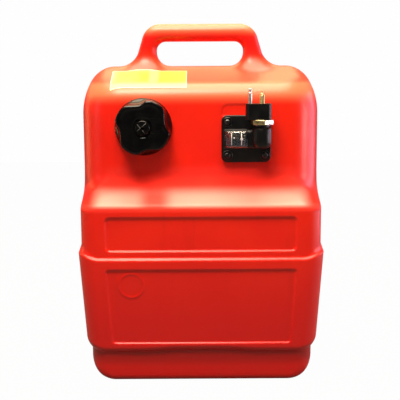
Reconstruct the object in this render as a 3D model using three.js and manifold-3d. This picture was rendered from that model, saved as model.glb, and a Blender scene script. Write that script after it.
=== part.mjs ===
// A portable outboard fuel tank that stands on its foot: a blow-moulded shell with a carrying handle,
// a vented screw cap, and a fuel meter with its float, pickup and hose connector.
// Millimetres. X runs to the right, Y to the back and Z up. The mould parts at y = 0.
import * as THREE from "three";
import { mergeVertices } from "three/addons/utils/BufferGeometryUtils.js";
import Module from "manifold-3d";

const wasm = await Module();
wasm.setup();

// General clearances
const seatGap = 0.3;
const overrun = 6;

// Tank: half-widths at the parting plane and depths in front of it, block by block
const wall = 4.5;
const footHalfWidth = 157.5;
const footDepth = 119;
const footHeight = 45;
const footEdgeRadius = 9;
const footCornerRadius = 38;
const overhangRise = 4;
const lowerHalfWidth = 165;
const lowerCornerRadius = 14;
const lowerDepth = 125;
const bandHalfWidth = 173.5;
const bandDepth = 127.5;
const bandTopZ = 173;
const bandSideZ = 183;
const bandSideRise = 5;
const brandHalfWidth = 169.5;
const brandDepth = 124;
const shoulderZ = 238;
const shoulderEdgeRadius = 8;
const shoulderFilletRadius = 12;
const shoulderSlope = THREE.MathUtils.degToRad(32);
const waistHalfWidth = 168.5;
const waistZ = 276;
const upperHalfWidth = 168;
const upperDepth = 82;
const crestZ = 429;
const crestRadius = 50;
const topSlope = THREE.MathUtils.degToRad(21.5);
const topEdgeRadius = 15;
const topLeanZ = 382;
const topLean = THREE.MathUtils.degToRad(24);
const topCornerRadius = 22;
const planCornerRadius = 22;
const upperPlanCornerRadius = 44;
const sideDraftShare = 0.06;
const upperSideDraftShare = 0.1;
const cornerSegments = 5;
const edgeSegments = 3;

// Tank panels, recessed in the front, back and base
const panelDepth = 1.8;
const panelCorner = 8;
const brandPanelHalfWidth = 128;
const brandPanelLowZ = 183.5;
const brandPanelHighZ = 229;
const lowerPanelTopHalfWidth = 128;
const lowerPanelBottomHalfWidth = 121;
const lowerPanelLowZ = 56;
const lowerPanelHighZ = 158;
const ringX = -94.5;
const ringZ = 136.5;
const ringRadius = 17.5;
const ringWidth = 2;
const ringHeight = 1;
const backGrooveHalfWidth = 7;
const backGrooveLowZ = 90;
const backGrooveHighZ = 330;
const backGrooveDepth = 2.5;
const backGroovePitch = 80;
const basePanelHalfWidth = 100;
const basePanelHalfDepth = 76;

// Handle, moulded in the parting plane
const handleTopZ = 488;
const handleRootHalfWidth = 94;
const handleLean = THREE.MathUtils.degToRad(17);
const handleCorner = 18;
const handleHalfDepth = 17;
const handleRounding = 11;
const handHoleHalfWidth = 62;
const handHoleTopZ = 463.5;
const handHoleTopCorner = 13;
const handHoleBottomCorner = 20;
const handleFlare = 18;
const handleRootDepth = 40;

// Filler neck and cap, both on an axis along Y at this place on the upper face
const capX = -77;
const capZ = 348;
const neckRadius = 24.5;
const neckBoreRadius = 20;
const neckLength = 21;
const neckSeatRadius = 30;
const neckSeatHeight = 1.5;
const threadHeight = 1.5;
const threadWidth = 2.6;
const threadCrestWidth = 1.2;
const threadStarts = 2;
const threadLead = 12;
const threadTurns = 0.9;
const threadStepsPerTurn = 20;
const capThreadClearance = 0.6;
const capRootClearance = 1;
const capRimGap = 2.4;
const capFlangeRadius = 39;
const capFlangeHeight = 4.5;
const capLobeRadius = 38.3;
const capPlate = 4.3;
const capSkirtWall = 2.2;
const capShellWall = 2.6;
const capEdge = 2.4;
const capLobes = 4;
const capLobeTurn = THREE.MathUtils.degToRad(10);
const capScoopSteps = 5;
const capLobeShares = [
  [0, 0.805],
  [0.11, 0.83],
  [0.2, 0.88],
  [0.29, 0.96],
  [0.38, 1],
  [0.55, 1],
  [0.71, 0.995],
  [0.79, 0.95],
  [0.86, 0.86],
  [0.93, 0.81],
];
const capGasketThickness = 2.4;
const capGasketInset = 0.8;
const capDishRadius = 12.5;
const capDishDepth = 1.8;
const ventStemRadius = 2.6;
const ventStemLength = 13;
const ventBoreClearance = 0.4;
const ventBossRadius = 6.5;
const ventBossLength = 9;
const ventSealWidth = 1.6;
const ventSealThickness = 1.5;
const ventKnobRadius = 9.6;
const ventKnobHeight = 3.6;
const ventGripHeight = 2.6;
const ventGripWidth = 4;
const ventGripTurn = THREE.MathUtils.degToRad(40);

// Fuel meter: a flange that covers a round hole in the upper face
const meterX = 62;
const meterZ = 331;
const meterHoleRadius = 28.5;
const meterPadRadius = 42;
const meterPadDepth = 6;
const meterRingWall = 2.4;
const meterRingLength = 6;
const meterRingClearance = 0.5;
const flangeWidth = 67;
const flangeHeight = 64;
const flangeCorner = 8;
const flangeThickness = 5;
const flangeEdge = 1;
const gasketThickness = 1.5;
const gasketInset = 0.8;
const screwSpacingX = 51;
const screwSpacingZ = 45;
const screwHeadRadius = 4;
const screwCrownRadius = 2.8;
const screwSlotReach = 2.4;
const screwHeadHeight = 2.2;
const screwShankRadius = 1.8;
const screwLength = 13;
const screwHoleClearance = 0.4;
const screwSlotWidth = 1;
const screwSlotDepth = 1;

// Level gauge under its window, on an axis along X
const lensX = -14;
const lensLength = 30;
const lensRadius = 12;
const lensWall = 1.7;
const lensLip = 1.8;
const lensLipThickness = 1.4;
const lensSealThickness = 0.8;
const drumAxisInset = 1.5;
const drumRadius = 9.4;
const drumClearance = 0.8;
const drumShaftRadius = 1;
const pivotClearance = 0.3;
const shaftSeat = 1.4;

// Gauge gears, one module for both
const gearModule = 1;
const pinionTeeth = 16;
const sectorTeeth = 36;
const sectorTeethMade = 10;
const gearWidth = 4;
const gearAddendumShare = 0.8;
const gearDedendumShare = 1.25;
const toothWidthShares = { root: 0.62, pitch: 0.4, tip: 0.2 };

// Float, its arm and the bracket that carries it
const pivotPinRadius = 1.5;
const pivotPinHeadRadius = 2.7;
const hubRadius = 4.6;
const hubLength = 9.4;
const socketRadius = 3.1;
const socketLength = 14;
const frameThickness = 2.2;
const frameClearance = 0.8;
const frameEyeRadius = 5.5;
const frameBaseHalfHeight = 16;
const frameBarHeight = 4;
const wireRadius = 1.25;
const wireClearance = 0.3;
const wireDropToBend = 24;
const wireBendDrop = 28;
const floatWidth = 36;
const floatDepth = 30;
const floatHeight = 50;
const floatCorner = 6;
const floatEdge = 3;
const floatSideStep = -7;
const floatBackStep = 8;
const floatDrop = 155;
const retainerRadius = 4;
const retainerThickness = 0.9;
const wireEnd = 4;

// Pickup and outlet elbow
const elbowX = 20;
const elbowReach = 16.6;
const elbowNeckHalfWidth = 10.5;
const elbowRadius = 13;
const elbowTop = 16;
const elbowDrop = 9;
const passageRadius = 3.2;
const spigotRadius = 6;
const spigotLength = 14;
const pipeRadius = 4;
const pipeBoreRadius = 2.8;
const pipeClearance = 0.3;
const pipeInsertion = 9;
const strainerBackGap = 4;
const strainerRadius = 8;
const strainerLength = 23;
const strainerOverlap = 7;
const pipeLength = bandDepth - wall - strainerBackGap + upperDepth
  - (spigotLength - pipeInsertion) - (strainerLength - strainerOverlap);
const strainerSlots = 6;
const strainerSlotWidth = 2.4;
const strainerSlotInset = 4;

// Hose connector, stacked on the elbow's axis
const nippleRadius = 5;
const nippleBoreRadius = 2.6;
const nippleDrop = 11;
const nippleFlangeRadius = 6.4;
const nippleFlangeHeight = 1.4;
const outletSealRadius = 9.5;
const outletSealThickness = 1.8;
const nutCollarRadius = 11;
const nutCollarHeight = 2.2;
const nutAcrossFlats = 27.5;
const nutHeight = 6.4;
const nutTurn = THREE.MathUtils.degToRad(8);
const blockLeft = 21.7;
const blockRight = 12.2;
const blockDepth = 22;
const blockHeight = 21;
const blockCorner = 7;
const blockEdge = 1.4;
const pinCupWall = 1.9;
const pinCupRoof = 2;
const fuelPinRadius = 3.45;
const fuelPinHeight = 11.7;
const fuelPinBoreRadius = 2.65;
const fuelPinChamfer = 0.6;
const poppetStemRadius = 2.2;
const poppetTipHeight = 5.8;
const poppetHeadRadius = 4.1;
const poppetHeadHeight = 2.7;
const poppetSealThickness = 1.2;
const springCoils = 5;
const springWireRadius = 0.4;
const springLength = 10.4;
const guidePinX = -15.7;
const guidePinRadius = 2.75;
const guidePinHeight = 20.1;
const guidePinSocket = 15;
const guideGrooveDepth = 0.65;
const guideGrooveWidth = 1.6;
const guideGrooveDrop = 3.8;
const guideTipRadius = 1;

// Label on the front half of the sloping top
const labelLeftX = -122.5;
const labelRightX = -18.5;
const labelFrontY = -79.5;
const labelBackY = -28;
const labelThickness = 0.4;

// Facets round a full turn, for large and small round pieces
const largeFacets = 32;
const mediumFacets = 20;
const smallFacets = 12;

const fullTurn = 2 * Math.PI;
const quarterTurn = Math.PI / 2;

const finishes = {
  tank: { color: 0xd92a1c, roughness: 0.42, metalness: 0 },
  label: { color: 0xf2e94a, roughness: 0.5, metalness: 0 },
  blackPlastic: { color: 0x151515, roughness: 0.35, metalness: 0 },
  whitePlastic: { color: 0xe8e8e4, roughness: 0.45, metalness: 0 },
  foam: { color: 0x2a2a2c, roughness: 0.8, metalness: 0 },
  rubber: { color: 0x1b1b1b, roughness: 0.85, metalness: 0 },
  lens: { color: 0xdfe4e6, roughness: 0.05, metalness: 0, transparent: true, opacity: 0.35 },
  brass: { color: 0xb8954a, roughness: 0.3, metalness: 1 },
  steel: { color: 0xc8cacc, roughness: 0.3, metalness: 1 },
};

// Solids and their three ways of being placed

function solidOf(geometry) {
  const plain = new THREE.BufferGeometry();
  const source = geometry.index ? geometry.toNonIndexed() : geometry;
  plain.setAttribute("position", source.getAttribute("position").clone());
  const merged = mergeVertices(plain, 1e-4);
  const triVerts = new Uint32Array(merged.index.array);
  return new wasm.Manifold(
    new wasm.Mesh({ numProp: 3, vertProperties: merged.attributes.position.array, triVerts }),
  );
}

function geometryOf(solid) {
  const mesh = solid.getMesh();
  const geometry = new THREE.BufferGeometry();
  geometry.setAttribute("position", new THREE.BufferAttribute(mesh.vertProperties, 3));
  geometry.setIndex(new THREE.BufferAttribute(mesh.triVerts, 1));
  return geometry;
}

function joined(...solids) {
  return solids.reduce((sum, next) => sum.add(next));
}

function cut(solid, ...cutters) {
  return cutters.reduce((rest, cutter) => rest.subtract(cutter), solid);
}

const axisX = new THREE.Vector3(1, 0, 0);
const axisY = new THREE.Vector3(0, 1, 0);
const axisZ = new THREE.Vector3(0, 0, 1);

// An outline drawn in the plane across an axis, given thickness between two places on that axis.
function extruded(shape, from, to, across, up, along, options) {
  const bevel = options ?? { bevelEnabled: false };
  const trim = bevel.bevelEnabled ? bevel.bevelThickness : 0;
  const geometry = new THREE.ExtrudeGeometry(shape, {
    depth: to - from - 2 * trim,
    curveSegments: bevel.curveSegments ?? edgeSegments,
    ...bevel,
  });
  geometry.translate(0, 0, from + trim);
  geometry.applyMatrix4(new THREE.Matrix4().makeBasis(across, up, along));
  return solidOf(geometry);
}

// Outline in x and z, thickness from one y to a larger y.
function prismY(shape, from, to, options) {
  return extruded(shape, -to, -from, axisX, axisZ, axisY.clone().negate(), options);
}

// Outline in y and z, thickness along x.
function prismX(shape, from, to, options) {
  return extruded(shape, from, to, axisY, axisZ, axisX, options);
}

// Outline in x and y, thickness along z.
function prismZ(shape, from, to, options) {
  return extruded(shape, from, to, axisX, axisY, axisZ, options);
}

function rounding(size, segments = edgeSegments) {
  return {
    bevelEnabled: true,
    bevelSize: size,
    bevelThickness: size,
    bevelOffset: -size,
    bevelSegments: segments,
  };
}

// A closed profile of [radius, place on the axis] spun round the Y axis.
function spun(profile, facets) {
  const area = profile.reduce((sum, [r, a], i) => {
    const [nextR, nextA] = profile[(i + 1) % profile.length];
    return sum + r * nextA - nextR * a;
  }, 0);
  const ordered = area > 0 ? profile : [...profile].reverse();
  const start = ordered.findIndex(([r], i) => {
    const previous = ordered[(i + ordered.length - 1) % ordered.length];
    return r === 0 && previous[0] === 0;
  });
  const turned = start < 0 ? ordered : [...ordered.slice(start), ...ordered.slice(0, start)];
  const points = turned.map(([r, a]) => new THREE.Vector2(r, a));
  if (start < 0) points.push(points[0].clone());
  return new THREE.LatheGeometry(points, facets);
}

function turnedY(profile, facets = mediumFacets) {
  return solidOf(spun(profile, facets));
}

function turnedZ(profile, facets = mediumFacets) {
  return solidOf(spun(profile, facets).rotateX(quarterTurn));
}

function turnedX(profile, facets = mediumFacets) {
  return solidOf(spun(profile, facets).rotateZ(-quarterTurn));
}

// The profile of a plain rod or, with an inner radius, of a tube.
function rod(radius, from, to, inner = 0) {
  return [
    [inner, from],
    [radius, from],
    [radius, to],
    [inner, to],
  ];
}

function arc(centreA, centreB, radius, from, to, segments) {
  return Array.from({ length: segments + 1 }, (_, i) => {
    const angle = from + ((to - from) * i) / segments;
    return [centreA + radius * Math.cos(angle), centreB + radius * Math.sin(angle)];
  });
}

function shapeOf(points) {
  return new THREE.Shape(points.map(([a, b]) => new THREE.Vector2(a, b)));
}

function roundedRectangle(halfWidth, halfHeight, radius, centreA = 0, centreB = 0) {
  const corners = [
    [halfWidth - radius, halfHeight - radius, 0],
    [radius - halfWidth, halfHeight - radius, 1],
    [radius - halfWidth, radius - halfHeight, 2],
    [halfWidth - radius, radius - halfHeight, 3],
  ];
  return shapeOf(
    corners.flatMap(([a, b, quarter]) =>
      arc(
        centreA + a,
        centreB + b,
        radius,
        quarter * quarterTurn,
        (quarter + 1) * quarterTurn,
        edgeSegments,
      ),
    ),
  );
}

// A closed skin over rings that hold equally many points, capped at both ends.
function loft(rings) {
  const count = rings[0].length;
  const positions = [];
  const triangle = (...corners) => corners.forEach((p) => positions.push(p.x, p.y, p.z));
  rings.slice(1).forEach((ring, i) => {
    const below = rings[i];
    for (let j = 0; j < count; j += 1) {
      const k = (j + 1) % count;
      triangle(below[j], below[k], ring[k]);
      triangle(below[j], ring[k], ring[j]);
    }
  });
  const cap = (ring, flip) => {
    const centre = ring.reduce((sum, p) => sum.add(p), new THREE.Vector3()).divideScalar(count);
    ring.forEach((p, j) => {
      const next = ring[(j + 1) % count];
      if (flip) triangle(centre, next, p);
      else triangle(centre, p, next);
    });
  };
  cap(rings[0], true);
  cap(rings[rings.length - 1], false);
  const geometry = new THREE.BufferGeometry();
  geometry.setAttribute("position", new THREE.Float32BufferAttribute(positions, 3));
  return geometry;
}

// Tank shell

// Moves an open outline of [distance out, z] inwards by the wall.
function insetLine(points, inset) {
  if (inset === 0) return points;
  const normals = points.slice(1).map(([a, z], i) => {
    const [b, y] = points[i];
    const length = Math.hypot(a - b, z - y);
    return [(z - y) / length, (b - a) / length];
  });
  return points.map(([a, z], i) => {
    const before = normals[Math.max(i - 1, 0)];
    const after = normals[Math.min(i, normals.length - 1)];
    const sumA = before[0] + after[0];
    const sumZ = before[1] + after[1];
    const scale = (2 * inset) / (sumA * sumA + sumZ * sumZ);
    return [a - sumA * scale, z - sumZ * scale];
  });
}

const shoulderTurn = quarterTurn - shoulderSlope;
const shoulderEdgeEnd = brandDepth - shoulderEdgeRadius * (1 - Math.cos(shoulderTurn));
const shoulderFilletStart = upperDepth + shoulderFilletRadius * (1 - Math.cos(shoulderTurn));
const shoulderTopZ =
  shoulderZ +
  (shoulderEdgeRadius + shoulderFilletRadius) * Math.sin(shoulderTurn) +
  (shoulderEdgeEnd - shoulderFilletStart) * Math.tan(shoulderSlope);
const skyZ = crestZ + overrun;
const bandStep = bandDepth - brandDepth;

function footLine(depth) {
  return arc(depth - footEdgeRadius, footEdgeRadius, footEdgeRadius, -quarterTurn, 0, edgeSegments);
}

// Depth in front of the parting plane, from the foot to above the crest.
function frontLine() {
  return [
    ...footLine(footDepth),
    [footDepth, footHeight - overhangRise],
    [lowerDepth, footHeight + overhangRise],
    ...arc(brandDepth, bandTopZ - bandStep, bandStep, 0, quarterTurn, edgeSegments),
    ...arc(
      brandDepth - shoulderEdgeRadius,
      shoulderZ,
      shoulderEdgeRadius,
      0,
      shoulderTurn,
      edgeSegments,
    ),
    ...arc(
      upperDepth + shoulderFilletRadius,
      shoulderTopZ,
      shoulderFilletRadius,
      shoulderTurn + Math.PI,
      Math.PI,
      edgeSegments,
    ),
    [upperDepth, skyZ],
  ];
}

function backLine() {
  return [
    ...footLine(footDepth),
    [footDepth, footHeight - overhangRise],
    [bandDepth, footHeight + overhangRise],
    [bandDepth, skyZ],
  ];
}

// Half-width at the parting plane: rounded under the foot, under the lower block and at the top.
function sideLine() {
  const lowerCornerX = lowerHalfWidth - lowerCornerRadius;
  const footShare = THREE.MathUtils.clamp((footHalfWidth - lowerCornerX) / lowerCornerRadius, 0, 1);
  const topCornerZ = crestZ - topCornerRadius;
  const topCornerX =
    upperHalfWidth -
    (topCornerZ - topLeanZ) * Math.tan(topLean) -
    topCornerRadius / Math.cos(topLean);
  return [
    ...arc(
      footHalfWidth - footCornerRadius,
      footCornerRadius,
      footCornerRadius,
      -quarterTurn,
      0,
      cornerSegments,
    ),
    ...arc(
      lowerCornerX,
      footHeight + lowerCornerRadius,
      lowerCornerRadius,
      -Math.acos(footShare),
      0,
      edgeSegments,
    ),
    [bandHalfWidth, bandSideZ - bandSideRise],
    [brandHalfWidth, bandSideZ + bandSideRise],
    [brandHalfWidth, shoulderZ],
    [waistHalfWidth, waistZ],
    [upperHalfWidth, topLeanZ],
    ...arc(topCornerX, topCornerZ, topCornerRadius, topLean, quarterTurn, cornerSegments),
    [topCornerX, skyZ],
  ];
}

// Seen from above, the corners get rounder and the sides lean in more over the shoulder.
function overShoulder(low, high, z) {
  return readLine(
    [
      [low, shoulderZ],
      [high, shoulderTopZ],
    ],
    z,
  );
}

// Reads an outline of [distance out, z] at a height; of equal heights, the first counts.
function readLine(points, z) {
  const above = points.findIndex((p) => p[1] >= z);
  if (above < 0) return points[points.length - 1][0];
  if (above === 0) return points[0][0];
  const [a, low] = points[above - 1];
  const [b, high] = points[above];
  return a + ((b - a) * (z - low)) / (high - low);
}

function planRing(halfWidth, front, back, inset, z) {
  const radius = overShoulder(planCornerRadius, upperPlanCornerRadius, z) - inset;
  const draftShare = overShoulder(sideDraftShare, upperSideDraftShare, z);
  const quarter = (depth, signX, signY, from) => {
    const edge = halfWidth - draftShare * (depth - radius);
    return arc(edge - radius, depth - radius, radius, from, quarterTurn - from, cornerSegments).map(
      ([x, y]) => [signX * x, signY * y],
    );
  };
  const points = [
    [halfWidth, 0],
    ...quarter(back, 1, 1, 0),
    ...quarter(back, -1, 1, quarterTurn),
    [-halfWidth, 0],
    ...quarter(front, -1, -1, 0),
    ...quarter(front, 1, -1, quarterTurn),
  ];
  return points.map(([x, y]) => new THREE.Vector3(x, y, z));
}

// The blocks of the tank as one tall column, before its top and its corners are shaped.
function columnSolid(inset) {
  const front = insetLine(frontLine(), inset);
  const back = insetLine(backLine(), inset);
  const side = insetLine(sideLine(), inset);
  const heights = [...front, ...back, ...side]
    .map(([, z]) => z)
    .filter((z) => z < skyZ && z > inset)
    .sort((a, b) => a - b);
  const levels = [inset, ...heights, skyZ - inset].filter(
    (z, i, all) => i === 0 || z - all[i - 1] > wall / 8,
  );
  const rings = levels.map((z) =>
    planRing(readLine(side, z), readLine(front, z), readLine(back, z), inset, z),
  );
  return solidOf(loft(rings));
}

const topApexZ = crestZ + crestRadius * (1 / Math.cos(topSlope) - 1);

// Where the sloping top turns down into a face of this depth.
function topEdgeCentre(depth) {
  const a = depth - topEdgeRadius;
  return [a, topApexZ - a * Math.tan(topSlope) - topEdgeRadius / Math.cos(topSlope)];
}

function topEdge(depth, inset) {
  const [a, z] = topEdgeCentre(depth);
  return arc(a, z, topEdgeRadius - inset, 0, quarterTurn - topSlope, cornerSegments);
}

// The side view's top: two slopes that meet in a rounded crest.
function topSolid(inset) {
  const front = topEdge(upperDepth, inset);
  const back = topEdge(bandDepth, inset);
  const crest = arc(
    0,
    crestZ - crestRadius,
    crestRadius - inset,
    quarterTurn - topSlope,
    quarterTurn + topSlope,
    edgeSegments,
  );
  const outline = [
    [bandDepth + overrun, -overrun],
    [bandDepth + overrun, back[0][1]],
    ...back,
    ...crest,
    ...front.map(([a, z]) => [-a, z]).reverse(),
    [-bandDepth - overrun, front[0][1]],
    [-bandDepth - overrun, -overrun],
  ];
  return prismX(shapeOf(outline), -bandHalfWidth - overrun, bandHalfWidth + overrun);
}

function bodySolid(inset) {
  return columnSolid(inset).intersect(topSolid(inset));
}

// Where a circle at height z touches the handle's leaning leg from a signed distance.
function besideLeg(distance, z) {
  const rise = (z - crestZ) * Math.sin(handleLean);
  return handleRootHalfWidth + (distance - rise) / Math.cos(handleLean);
}

// The handle's front view, with the hand hole; inset moves every edge into the material.
function handleShape(inset) {
  const root = crestZ - handleRootDepth;
  const flareX = besideLeg(handleFlare, crestZ + handleFlare);
  const right = [
    [flareX, root],
    ...arc(
      flareX,
      crestZ + handleFlare,
      handleFlare + inset,
      -quarterTurn,
      handleLean - Math.PI,
      edgeSegments,
    ),
    ...arc(
      besideLeg(-handleCorner, handleTopZ - handleCorner),
      handleTopZ - handleCorner,
      handleCorner - inset,
      handleLean,
      quarterTurn,
      cornerSegments,
    ),
  ];
  const shape = shapeOf([...right, ...right.map(([x, z]) => [-x, z]).reverse()]);
  const holeRight = [
    ...arc(
      handHoleHalfWidth - handHoleBottomCorner,
      crestZ + handHoleBottomCorner,
      handHoleBottomCorner + inset,
      -quarterTurn,
      0,
      edgeSegments,
    ),
    ...arc(
      handHoleHalfWidth - handHoleTopCorner,
      handHoleTopZ - handHoleTopCorner,
      handHoleTopCorner + inset,
      0,
      quarterTurn,
      cornerSegments,
    ),
  ];
  const hole = [...holeRight, ...holeRight.map(([x, z]) => [-x, z]).reverse()];
  shape.holes.push(new THREE.Path(hole.map(([x, z]) => new THREE.Vector2(x, z))));
  return shape;
}

function handleSolid(inset) {
  const half = handleHalfDepth - inset;
  return prismY(handleShape(inset), -half, half, rounding(handleRounding - inset));
}

// A cutter whose floor lies the panel's depth behind the sloping front face.
function frontPanelCutter(shape, depthAt) {
  const geometry = new THREE.ExtrudeGeometry(shape, {
    depth: panelDepth + overrun,
    bevelEnabled: false,
  });
  geometry.applyMatrix4(new THREE.Matrix4().makeBasis(axisX, axisZ, axisY.clone().negate()));
  const place = geometry.getAttribute("position");
  for (let i = 0; i < place.count; i += 1) {
    place.setY(i, place.getY(i) + panelDepth - depthAt(place.getZ(i)));
  }
  return solidOf(geometry);
}

function lowerFaceDepth(z) {
  const low = footHeight + overhangRise;
  const high = bandTopZ - bandStep;
  return lowerDepth + ((bandDepth - lowerDepth) * (z - low)) / (high - low);
}

function panelShape(lowHalfWidth, highHalfWidth, lowZ, highZ) {
  const r = panelCorner;
  return shapeOf([
    ...arc(highHalfWidth - r, highZ - r, r, 0, quarterTurn, edgeSegments),
    ...arc(r - highHalfWidth, highZ - r, r, quarterTurn, 2 * quarterTurn, edgeSegments),
    ...arc(r - lowHalfWidth, lowZ + r, r, 2 * quarterTurn, 3 * quarterTurn, edgeSegments),
    ...arc(lowHalfWidth - r, lowZ + r, r, 3 * quarterTurn, fullTurn, edgeSegments),
  ]);
}

function ringSolid() {
  const floor = panelDepth - lowerFaceDepth(ringZ);
  const ring = rod(ringRadius, floor - ringHeight, floor + wall / 2, ringRadius - ringWidth);
  return turnedY(ring, mediumFacets).translate([ringX, 0, ringZ]);
}

function backGrooves() {
  return [-1, 0, 1].map((place) => {
    const x = place * backGroovePitch;
    const shape = roundedRectangle(
      backGrooveHalfWidth,
      (backGrooveHighZ - backGrooveLowZ) / 2,
      backGrooveHalfWidth,
      x,
      (backGrooveHighZ + backGrooveLowZ) / 2,
    );
    return prismY(shape, bandDepth - backGrooveDepth, bandDepth + overrun);
  });
}

// Helical ridges round the Y axis. They climb outwards, towards -Y, by the lead in each turn.
function threadRidges(rootRadius, crestRadius, startY, startTurn) {
  const steps = Math.round(threadTurns * threadStepsPerTurn);
  const buried = crestRadius > rootRadius ? -threadHeight / 2 : threadHeight / 2;
  return Array.from({ length: threadStarts }, (_, k) => {
    const rings = Array.from({ length: steps + 1 }, (_, i) => {
      const turn = i / threadStepsPerTurn;
      const angle = fullTurn * (turn + startTurn + k / threadStarts);
      const y = startY - threadLead * turn;
      const section = [
        [rootRadius + buried, -threadWidth / 2],
        [rootRadius, -threadWidth / 2],
        [crestRadius, -threadCrestWidth / 2],
        [crestRadius, threadCrestWidth / 2],
        [rootRadius, threadWidth / 2],
        [rootRadius + buried, threadWidth / 2],
      ];
      const ring = section.map(
        ([r, along]) =>
          new THREE.Vector3(r * Math.cos(angle), y + along, r * Math.sin(angle)),
      );
      return crestRadius > rootRadius ? ring : ring.reverse();
    });
    return solidOf(loft(rings));
  });
}

const neckThreadY = -neckLength + threadWidth + threadLead * threadTurns;

// The neck stands on the upper face, in coordinates whose y = 0 is that face.
function neckSolid() {
  const tube = turnedY(rod(neckRadius, -neckLength, wall / 2), largeFacets);
  const seat = turnedY(rod(neckSeatRadius, -neckSeatHeight, wall / 2), largeFacets);
  const ridges = threadRidges(neckRadius, neckRadius + threadHeight, neckThreadY, 0);
  return joined(tube, seat, ...ridges);
}

function neckBore() {
  return turnedY(rod(neckBoreRadius, -neckLength - overrun, wall + overrun), largeFacets);
}

function tankSolid() {
  const outside = joined(bodySolid(0), handleSolid(0));
  const inside = joined(bodySolid(wall), handleSolid(wall));
  const brandPanel = frontPanelCutter(
    panelShape(brandPanelHalfWidth, brandPanelHalfWidth, brandPanelLowZ, brandPanelHighZ),
    () => brandDepth,
  );
  const lowerPanel = frontPanelCutter(
    panelShape(
      lowerPanelBottomHalfWidth,
      lowerPanelTopHalfWidth,
      lowerPanelLowZ,
      lowerPanelHighZ,
    ),
    lowerFaceDepth,
  );
  const basePanel = prismZ(
    roundedRectangle(basePanelHalfWidth, basePanelHalfDepth, planCornerRadius),
    -overrun,
    panelDepth,
  );
  const face = -upperDepth;
  const pad = turnedY(rod(meterPadRadius, wall / 2, wall + meterPadDepth), largeFacets);
  const meterHole = turnedY(
    rod(meterHoleRadius, -overrun, wall + meterPadDepth + overrun),
    largeFacets,
  );
  const screwHoles = screwPlaces().map(([x, z]) =>
    turnedY(
      rod(screwShankRadius + screwHoleClearance, -overrun, screwHoleEnd()),
      smallFacets / 2,
    ).translate([x, 0, z]),
  );
  const shell = joined(
    cut(outside, inside),
    neckSolid().translate([capX, face, capZ]),
    pad.translate([meterX, face, meterZ]),
  );
  return joined(
    cut(
      shell,
      neckBore().translate([capX, face, capZ]),
      meterHole.translate([meterX, face, meterZ]),
      ...screwHoles.map((hole) => hole.translate([meterX, face, meterZ])),
      brandPanel,
      lowerPanel,
      basePanel,
      ...backGrooves(),
    ),
    ringSolid(),
  );
}

// Cap, in coordinates whose y = 0 is the tank's upper face and whose outside is -Y

const gasketInnerY = -neckLength - seatGap;
const gasketOuterY = gasketInnerY - capGasketThickness;
const capCeilingY = gasketOuterY - seatGap;
const capTopY = capCeilingY - capPlate;
const capRootRadius = neckRadius + threadHeight + capRootClearance;
const capThreadRadius = neckRadius + capThreadClearance;
const dishFloorY = capTopY + capDishDepth;

// Points round the lobes. At scoop 1 the finger scoops have their full depth, at 0 there are none.
function lobePoints(inset, scoop) {
  const count = capLobes * capLobeShares.length;
  return Array.from({ length: count }, (_, i) => {
    const [turnShare, radiusShare] = capLobeShares[i % capLobeShares.length];
    const lobe = Math.floor(i / capLobeShares.length);
    const angle = capLobeTurn + (fullTurn * (lobe + turnShare)) / capLobes;
    const radius = capLobeRadius * (scoop * radiusShare + 1 - scoop) - inset;
    return [radius * Math.cos(angle), radius * Math.sin(angle)];
  });
}

function lobeShape(inset) {
  return shapeOf(lobePoints(inset, 1));
}

// The cap's grip: scoops that run out towards the flange, with a rounded edge on top.
function lobesSolid(flangeY) {
  const ring = (y, inset, scoop) =>
    lobePoints(inset, scoop).map(([a, b]) => new THREE.Vector3(a, y, b));
  const edge = Array.from({ length: edgeSegments }, (_, i) => {
    const angle = (quarterTurn * (i + 1)) / edgeSegments;
    const y = capTopY + capEdge * (1 - Math.sin(angle));
    return ring(y, capEdge * (1 - Math.cos(angle)), 1);
  });
  const topY = capTopY + capEdge;
  const baseY = flangeY + capEdge / 2;
  const walls = Array.from({ length: capScoopSteps + 1 }, (_, i) => {
    const share = i / capScoopSteps;
    return ring(THREE.MathUtils.lerp(topY, baseY, share), 0, 1 - share * share);
  });
  return solidOf(loft([...walls.reverse(), ...edge]));
}

function capSolid() {
  const flangeY = -capRimGap - capFlangeHeight;
  const lobes = lobesSolid(flangeY);
  const flange = turnedY(
    [
      [0, -capRimGap],
      [capFlangeRadius, -capRimGap],
      [capFlangeRadius, flangeY + capEdge / 2],
      [capFlangeRadius - capEdge / 2, flangeY],
      [0, flangeY],
    ],
    largeFacets,
  );
  const bore = turnedY(rod(capRootRadius, capCeilingY, overrun), largeFacets);
  const skirt = turnedY(rod(capRootRadius + capSkirtWall, capTopY, overrun), largeFacets);
  const pockets = cut(
    prismY(lobeShape(capShellWall + capEdge / 2), capCeilingY, overrun),
    skirt,
  );
  const dish = turnedY(rod(capDishRadius, capTopY - overrun, dishFloorY), mediumFacets);
  const boss = turnedY(rod(ventBossRadius, dishFloorY, capCeilingY + ventBossLength));
  const stemBore = turnedY(
    rod(ventStemRadius + ventBoreClearance, capTopY - overrun, overrun),
    smallFacets,
  );
  const sealSeat = turnedY(
    rod(ventSealOuterRadius + seatGap, capTopY - overrun, ventSealBackY + seatGap),
    mediumFacets,
  );
  const threadY = neckThreadY + threadLead / (2 * threadStarts);
  const ridges = threadRidges(capRootRadius, capThreadRadius, threadY, 0);
  return joined(
    cut(joined(cut(joined(lobes, flange), bore, pockets, dish), boss), stemBore, sealSeat),
    ...ridges,
  );
}

function capGasketSolid() {
  const outer = capRootRadius - capGasketInset;
  const inner = neckBoreRadius + capGasketInset;
  return turnedY(rod(outer, gasketOuterY, gasketInnerY, inner), largeFacets);
}

const ventSealInnerRadius = ventStemRadius + seatGap;
const ventSealOuterRadius = ventSealInnerRadius + ventSealWidth;
const ventSealFrontY = dishFloorY + seatGap;
const ventSealBackY = ventSealFrontY + ventSealThickness;

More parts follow.
